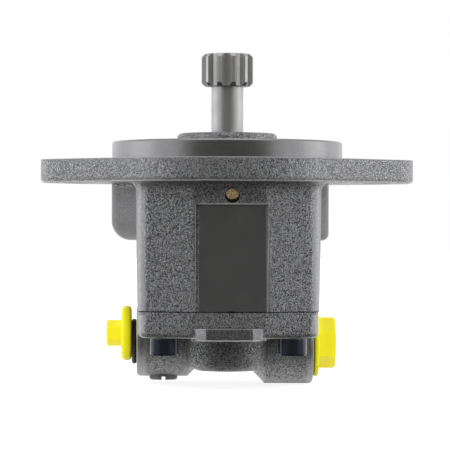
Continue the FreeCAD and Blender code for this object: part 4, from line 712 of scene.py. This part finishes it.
class PumpStageSettings(bpy.types.PropertyGroup):
    distance: number("Distance", "Camera to the shaft's axis", 0.9, **LENGTH)
    camera_height: number("Camera height", "Camera height above the mounting face", -25.1 * MM,
                          **LENGTH)
    azimuth: number("Azimuth", "Camera's turn round the pump", math.radians(-1.3), **ANGLE)
    roll: number("Roll", "Camera's tilt to one side", math.radians(0.15), **ANGLE)
    focal_pixels: number("Focal pixels", "Focal length in pixels of the frame", 2507.0)
    aim_side: number("Aim side", "Picture's middle beside the shaft's axis", -0.72 * MM, **LENGTH)
    aim_height: number("Aim height", "Height of the picture's middle", -23.3 * MM, **LENGTH)
    tent_level: number("Tent level", "Brightness of the white tent round the pump", 1.05)
    fill_level: number("Fill level", "Brightness of the light scattered on dull surfaces", 1.45)
    opening_level: number("Opening level", "Brightness of the tent's opening", 0.075)
    opening_middle: number(
        "Opening middle", "Cosine of the angle that the opening is dimmest within", 0.89)
    opening_edge: number("Opening edge", "Cosine of the angle where the opening ends", 0.52)
    roof_level: number("Roof level", "Brightness of the tent's roof against its walls", 0.55)
    # In metal the floor shows painted shade in front of these depths
    floor_white: number("Floor white from", "Floor shows white in metal behind this depth",
                        0.008, **LENGTH)
    floor_dark: number("Floor dark to", "Floor shows dark in metal in front of this depth",
                       -0.020, **LENGTH)


FRAME_PIXELS = 450
SENSOR = 36.0


def finish(material, *names):
    """Gives one material to CAD nodes."""
    for name in names:
        mesh = NODES[name].data
        mesh.materials.clear()
        mesh.materials.append(material)


# Operators

class PUMP_OT_finish_castings(bpy.types.Operator):
    """Cast iron skin on the housing and the cover, with their machined faces"""
    bl_idname = "pump.finish_castings"
    bl_label = "Finish Castings"

    def execute(self, context):
        for node, masks in (("housing", housing_masks), ("cover", cover_masks)):
            finish(cast_material("Cast Iron " + node.title(), context.scene.pump_cast, masks),
                   node)
        return {"FINISHED"}


class PUMP_OT_finish_steel(bpy.types.Operator):
    """Finishes of the shafts, gears, pins, rings and springs"""
    bl_idname = "pump.finish_steel"
    bl_label = "Finish Steel Parts"

    def execute(self, context):
        # Ground steel: painted shade on its undersides
        finish(steel_material("Ground Steel", 0.54, 0.36, under=0.85), "drive_shaft",
               "driven_shaft", "drive_gear", "driven_gear", "drive_key", "locating_dowels",
               "relief_poppet")
        finish(steel_material("Spring Steel", 0.34, 0.35), "gear_retaining_rings",
               "seal_garter_springs", "seal_retaining_ring")
        finish(steel_material("Phosphated Steel", 0.16, 0.42), "relief_plug")
        return {"FINISHED"}


class PUMP_OT_finish_fasteners(bpy.types.Operator):
    """Black oxide on the cover screws and the seal spacer"""
    bl_idname = "pump.finish_fasteners"
    bl_label = "Finish Screws"

    def execute(self, context):
        finish(black_oxide_material(), "cover_screws", "seal_spacer")
        return {"FINISHED"}


class PUMP_OT_finish_bearings(bpy.types.Operator):
    """Bronze bushes and the sintered weep plug"""
    bl_idname = "pump.finish_bearings"
    bl_label = "Finish Bronze and Brass"

    def execute(self, context):
        finish(bronze_material(), "drive_bush_upper", "drive_bush_lower", "driven_bush_upper",
               "driven_bush_lower")
        finish(sintered_brass_material(), "weep_plug")
        return {"FINISHED"}


class PUMP_OT_finish_seals(bpy.types.Operator):
    """Rubber of the shaft seals, the cover seal and the port rings"""
    bl_idname = "pump.finish_seals"
    bl_label = "Finish Seals"

    def execute(self, context):
        rubber = rubber_material()
        finish(rubber, "outer_shaft_seal", "inner_shaft_seal", "cover_seal")
        for side in PLUGS:
            node = side + "_port_ring"
            piece = grid_mesh(side + "_ring_detail", ring_mesh(node), rubber, side + "_ring")
            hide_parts(node)
        return {"FINISHED"}


def full_turn(step):
    """Turns all the way round in radians, a step of degrees apart."""
    return np.radians(np.arange(0.0, 360.0, step))


def around():
    """Turns round a hexagon in radians, closest together at its six corners."""
    corner = np.array(sorted({sign * step for step in CORNER_STEPS for sign in (-1, 1)})[:-1])
    return np.radians(np.concatenate([corner + 60 * side for side in range(6)]))


def head_reach(plan, turn, rounding):
    """Levels of a plug's head and its reach at each of them.

    The reach is the hexagon's, cut by a cone of 45 degrees at the outer end. It flares into the
    flange, and at the outer end falls back by edge - sqrt(edge ** 2 - over ** 2), a round edge.
    """
    base, top = plan["head_from"], plan["head_from"] + plan["head_length"]
    slope = top - plan["chamfer"]
    levels = np.concatenate([
        base + HEAD_FOOT * (1 - np.cos(np.linspace(0, math.pi / 2, 4))),
        np.linspace(base + HEAD_FOOT, slope, 4)[1:],
        np.linspace(slope, top - HEAD_EDGE, 5)[1:],
        top - HEAD_EDGE + HEAD_EDGE * np.sin(np.linspace(0, math.pi / 2, 5))[1:]])[:, None]
    outline = np.minimum(hexagon_reach(turn - CORNER_TURN, plan["corner"], rounding),
                         plan["corner"] + top - plan["chamfer"] - levels)
    flare = HEAD_FOOT * np.clip(1 - (levels - base) / HEAD_FOOT, 0, 1) ** 2
    over = np.clip(levels - top + HEAD_EDGE, 0, None)
    inset = HEAD_EDGE - np.sqrt(np.clip(HEAD_EDGE ** 2 - over ** 2, 0, None))
    return levels, outline + flare - inset


def plug_mesh(side, settings):
    """Transport plug: threaded shank, flange with a round rim and a chamfered hexagon.

    A profile of (along, reach) is carried round the port's axis. On the shank the thread's wave
    lifts the surface from its root to the profile, and fades in and out at its ends.
    """
    plan = PLUGS[side]
    grip, shoulder, pitch = plan["grip"], plan["shoulder"], settings.thread_pitch
    root = plan["shank"] - settings.thread_depth
    turn = around()[None, :] + CORNER_TURN
    tip = [(-grip, 0.0), (-grip, root * 0.6), (-grip, root - 0.3 * MM)]
    shank = [(along, plan["shank"])
             for along in np.arange(-grip + LEAD_IN, shoulder, pitch / ROWS_PER_PITCH)]
    profile = np.concatenate([np.array(tip + shank), round_profile(plan["flange"], 6)])
    along, radius = profile[:, :1], profile[:, 1:]
    reach = np.broadcast_to(radius, (len(profile), turn.shape[1])).copy()
    wave = thread_wave(along, turn, pitch, **PLUG_THREAD)
    rise, fall = np.clip((along + grip) / RISE, 0, 1), np.clip((shoulder - along) / FALL, 0, 1)
    threaded = slice(len(tip), len(tip) + len(shank))
    reach[threaded] = (root + (radius - root) * wave * rise * fall)[threaded]
    levels, head = head_reach(plan, turn, settings.corner_round)
    end = head[-1][None, :] * np.array([[0.8], [0.5], [0.25], [0.0]])
    top = np.full((len(end), 1), plan["head_from"] + plan["head_length"])
    return on_port_axis(np.concatenate([along, levels, top]), np.concatenate([reach, head, end]),
                        turn, plan["origin"], plan["way"])


def port_thread_mesh(side, settings):
    """Thread cut in a port: a thin ring whose inner wall stands in to the thread's crests.

    The inner wall's reach is the port's radius less the thread's depth times the wave, half a pitch
    away from the plug's thread, and fades out at both ends. The outer wall closes the ring.
    """
    plan = PLUGS[side]
    pitch, hole = settings.thread_pitch, plan["hole"]
    mouth, depth = plan["thread_from"], plan["thread_to"]
    turn = full_turn(5.0)[None, :]
    rows = np.arange(depth, mouth, pitch / ROWS_PER_PITCH)[::-1][:, None]
    wave = thread_wave(rows + pitch / 2, turn, pitch, **PORT_THREAD)
    fade = np.clip((mouth - rows) / FALL, 0, 1) * np.clip((rows - depth) / PORT_FALL, 0, 1)
    inner = hole + CONTACT_GAP - (settings.thread_depth - THREAD_PLAY) * wave * fade
    outer = np.full((2, turn.shape[1]), hole + PORT_WALL)
    return on_port_axis(np.concatenate([rows, [[depth], [mouth]]]),
                        np.concatenate([inner, outer]), turn, plan["origin"], plan["way"])


def ring_mesh(node):
    """Moulded ring of a plug: a round section with a fine mould line inside and outside."""
    low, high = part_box(node)
    section = (high[0] - low[0]) / 2
    radius = (high[1] - low[1]) / 2 - section
    turn, bend = full_turn(4.0)[None, :], full_turn(20.0)[:, None]
    line = MOULD_LINE * np.exp(-((np.abs(np.sin(bend)) / 0.16) ** 2))
    thick = section - 0.04 * MM + line
    reach = radius + thick * np.cos(bend) + 0 * turn
    return on_port_axis(thick * np.sin(bend), reach, turn, middle_of(node), 1)


def coil_mesh(low, high):
    """The relief spring's round wire, wound right-handed round Z inside a box.

    At turn t the wire's middle is at (R cos t, R sin t, rise t), and the section's two directions
    are outwards, (cos t, sin t, 0), and across the wire, (-k sin t, k cos t, -R) / length, with k
    the rise for each radian. Both ends are closed by a point.
    """
    columns, steps = 14, 40 * RELIEF_TURNS
    radius = (high[0] - low[0]) / 2 - RELIEF_WIRE
    turn = np.linspace(0.0, RELIEF_TURNS * 2 * math.pi, steps + 1)
    foot, top = low[2] + RELIEF_WIRE, high[2] - RELIEF_WIRE
    rise = (top - foot) / turn[-1]
    size = np.concatenate([[0.0], np.full(len(turn), RELIEF_WIRE), [0.0]])[:, None, None]
    turn = np.concatenate([turn[:1], turn, turn[-1:]])
    ring = np.linspace(0.0, 2 * math.pi, columns, endpoint=False)[None, :, None]
    outward = np.stack([np.cos(turn), np.sin(turn), 0 * turn], axis=-1)[:, None, :]
    across = np.stack([-rise * np.sin(turn), rise * np.cos(turn), 0 * turn - radius], axis=-1)
    across = (across / math.hypot(rise, radius))[:, None, :]
    middle = np.array([(low[0] + high[0]) / 2, (low[1] + high[1]) / 2, foot])
    path = radius * outward + np.array([0.0, 0.0, 1.0]) * (rise * turn)[:, None, None]
    return middle + path + size * (np.cos(ring) * outward + np.sin(ring) * across)


class PUMP_OT_wind_relief_spring(bpy.types.Operator):
    """The relief valve's spring in round wire, between the plug's floor and the poppet"""
    bl_idname = "pump.wind_relief_spring"
    bl_label = "Wind Relief Spring"

    def execute(self, context):
        low, high = (list(corner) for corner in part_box("relief_spring"))
        cup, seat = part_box("relief_plug")[0][2] + RELIEF_CUP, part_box("relief_poppet")[0][2]
        low[2], high[2] = cup + CONTACT_GAP, seat - CONTACT_GAP
        piece = grid_mesh("relief_spring_coil", coil_mesh(low, high),
                          bpy.data.materials["Spring Steel"], "pump_body")
        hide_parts("relief_spring")
        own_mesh(piece)
        return {"FINISHED"}


class PUMP_OT_make_port_plugs(bpy.types.Operator):
    """The two yellow transport plugs: threaded shank, flange and hexagon"""
    bl_idname = "pump.make_port_plugs"
    bl_label = "Make Port Plugs"

    def execute(self, context):
        settings = context.scene.pump_plastic
        yellow = yellow_plastic_material(settings)
        for side in PLUGS:
            piece = grid_mesh(side + "_plug_detail", plug_mesh(side, settings), yellow,
                              side + "_plug", sharp=38.0)
            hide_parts(side + "_port_plug")
        return {"FINISHED"}


class PUMP_OT_cut_port_threads(bpy.types.Operator):
    """Threads in both ports of the cover, which the plugs turn out of"""
    bl_idname = "pump.cut_port_threads"
    bl_label = "Cut Port Threads"

    def execute(self, context):
        iron = steel_material("Cut Iron", 0.30, 0.36, metallic=0.9)
        for side in PLUGS:
            points = port_thread_mesh(side, context.scene.pump_plastic)
            grid_mesh(side + "_port_thread", points, iron, "pump_body", sharp=60.0)
        return {"FINISHED"}


class PUMP_OT_make_stage(bpy.types.Operator):
    """White floor, white tent light and the camera"""
    bl_idname = "pump.make_stage"
    bl_label = "Make Stage"

    def execute(self, context):
        scene, settings = context.scene, context.scene.pump_stage
        scene.view_settings.view_transform = "Standard"
        make_camera(scene, settings)
        make_floor(CAD_BOX[0][2], settings)
        make_tent(scene, settings)
        make_lamps()
        return {"FINISHED"}


def make_camera(scene, settings):
    """Long lens level with the pump's middle, aimed so that the pump sits as in the picture."""
    data = bpy.data.cameras.new("Camera")
    data.sensor_width = SENSOR
    data.lens = settings.focal_pixels / FRAME_PIXELS * SENSOR
    data.clip_start, data.clip_end = 0.05, 20.0
    camera = bpy.data.objects.new("Camera", data)
    scene.collection.objects.link(camera)
    turn = settings.azimuth
    side = Vector((math.cos(turn), math.sin(turn), 0))
    place = Vector((math.sin(turn), -math.cos(turn), 0)) * settings.distance
    place.z = settings.camera_height
    aim = side * settings.aim_side + Vector((0, 0, settings.aim_height))
    look = (aim - place).to_track_quat("-Z", "Y").to_matrix().to_4x4()
    camera.matrix_world = Matrix.Translation(place) @ look @ Matrix.Rotation(settings.roll, 4, "Z")
    scene.camera = camera


def make_floor(height, settings):
    """Wide white floor that keeps the pump's shadow. In metal it shows white, but its front shows
    dark, a painted shade.
    """
    half, glow_seen, paint_seen, paint_unseen = 4.0, 0.80, 0.42, 0.8
    mesh = bpy.data.meshes.new("Floor")
    corners = [(x * half, y * half, height) for x, y in ((-1, -1), (1, -1), (1, 1), (-1, 1))]
    mesh.from_pydata(corners, [], [(0, 1, 2, 3)])
    material, tree, place = new_material("White Floor")
    material.node_tree.nodes.remove(material.node_tree.nodes["Principled BSDF"])
    rays = tree.node("ShaderNodeLightPath").outputs
    seen, mirrored = rays["Is Camera Ray"], rays["Is Glossy Ray"]
    whole = tree.most(mirrored, rays["Is Transmission Ray"])
    # In metal the floor's front shows dark: painted shade
    near = tree.fade(tree.parts(place)[1], settings.floor_dark, settings.floor_white,
                     settings.opening_level, 1.0)
    share = tree.most(tree.product(seen, glow_seen), tree.product(whole, near))
    paint_level = tree.product(tree.blend(seen, paint_unseen, paint_seen),
                               tree.math("SUBTRACT", 1.0, whole))
    colour = tree.node("ShaderNodeCombineXYZ", dict.fromkeys((0, 1, 2), paint_level)).outputs[0]
    paint = tree.node("ShaderNodeBsdfDiffuse", {"Color": colour}).outputs[0]
    glow = tree.node("ShaderNodeEmission", {"Color": (1, 1, 1, 1), "Strength": share}).outputs[0]
    shader = tree.node("ShaderNodeAddShader", {0: paint, 1: glow}).outputs[0]
    tree.wire(material.node_tree.nodes["Material Output"].inputs[0], shader)
    mesh.materials.append(material)
    floor = bpy.data.objects.new("Floor", mesh)
    bpy.context.scene.collection.objects.link(floor)


def make_tent(scene, settings):
    """White tent all round. Metal mirrors its dim opening, where the camera stands.

    In metal the tent is slightly cool and its opening slightly warm.
    """
    world = bpy.data.worlds.new("Tent")
    world.use_nodes = True
    scene.world = world
    tree = Tree(world.node_tree)
    way = tree.node("ShaderNodeTexCoord").outputs["Generated"]
    facing = tree.vector("DOT_PRODUCT", way, (0.0, -1.0, 0.0))
    level = tree.fade(facing, settings.opening_edge, settings.opening_middle, settings.tent_level,
                      settings.opening_level)
    level = tree.product(level, tree.fade(tree.parts(way)[2], 0.15, 0.75, 1.0,
                                          settings.roof_level))
    rays = tree.node("ShaderNodeLightPath").outputs
    mirrored = tree.blend(rays["Is Glossy Ray"], settings.fill_level, level)
    strength = tree.blend(rays["Is Camera Ray"], mirrored, 1.0)
    background = world.node_tree.nodes["Background"]
    opening = tree.fade(facing, settings.opening_edge, settings.opening_middle)
    colour = tree.mix(opening, (0.980, 0.985, 1.030, 1), (1.0, 0.985, 0.935, 1))
    tree.wire(background.inputs["Color"], tree.mix(rays["Is Glossy Ray"], (1, 1, 1, 1), colour))
    tree.wire(background.inputs["Strength"], strength)


def make_lamps():
    """Tall soft boxes to the left and right, and one above, a little behind the pump's front."""
    boxes = (("Left Box", (-0.85, 0.06, 0.05), 0.5, 0.9, 0.5),
             ("Right Box", (0.85, 0.06, 0.05), 0.5, 0.9, 0.6),
             ("Top Box", (0.0, 0.10, 0.85), 0.7, 0.7, 0.5))
    for name, place, wide, tall, power in boxes:
        data = bpy.data.lights.new(name, "AREA")
        data.shape, data.size, data.size_y = "RECTANGLE", wide, tall
        data.energy = power
        lamp = bpy.data.objects.new(name, data)
        lamp.location = place
        toward = Vector((0, 0, -0.03)) - Vector(place)
        lamp.rotation_mode = "QUATERNION"
        lamp.rotation_quaternion = toward.to_track_quat("-Z", "Y")
        bpy.context.scene.collection.objects.link(lamp)


class PUMP_PT_sidebar(bpy.types.Panel):
    """Lists the pump's pieces and finishes in the sidebar"""
    bl_idname = "PUMP_PT_sidebar"
    bl_label = "Fuel Transfer Pump"
    bl_space_type = "VIEW_3D"
    bl_region_type = "UI"
    bl_category = "Pump"

    def draw(self, context):
        for operator in OPERATORS:
            self.layout.operator(operator.bl_idname)
        for group in SETTINGS:
            box = self.layout.box()
            settings = getattr(context.scene, group)
            for name in settings.__annotations__:
                box.prop(settings, name)


OPERATORS = (PUMP_OT_finish_castings, PUMP_OT_finish_steel, PUMP_OT_finish_fasteners,
             PUMP_OT_finish_bearings, PUMP_OT_finish_seals, PUMP_OT_wind_relief_spring,
             PUMP_OT_make_port_plugs, PUMP_OT_cut_port_threads, PUMP_OT_make_stage)
SETTINGS = {"pump_cast": PumpCastSettings, "pump_plastic": PumpPlasticSettings,
            "pump_stage": PumpStageSettings}


def register():
    for group in SETTINGS.values():
        bpy.utils.register_class(group)
    for name, group in SETTINGS.items():
        setattr(bpy.types.Scene, name, bpy.props.PointerProperty(type=group))
    for entry in OPERATORS + (PUMP_PT_sidebar,):
        bpy.utils.register_class(entry)


def unregister():
    for entry in (PUMP_PT_sidebar,) + OPERATORS:
        bpy.utils.unregister_class(entry)
    for name in SETTINGS:
        delattr(bpy.types.Scene, name)
    for group in SETTINGS.values():
        bpy.utils.unregister_class(group)


def main():
    register()
    make_cast_skin_group()
    make_turned_group()
    make_region_group()
    bpy.ops.pump.finish_castings()
    bpy.ops.pump.finish_steel()
    bpy.ops.pump.finish_fasteners()
    bpy.ops.pump.finish_bearings()
    bpy.ops.pump.finish_seals()
    bpy.ops.pump.wind_relief_spring()
    bpy.ops.pump.make_port_plugs()
    bpy.ops.pump.cut_port_threads()
    bpy.ops.pump.make_stage()


if __name__ == "__main__":
    main()
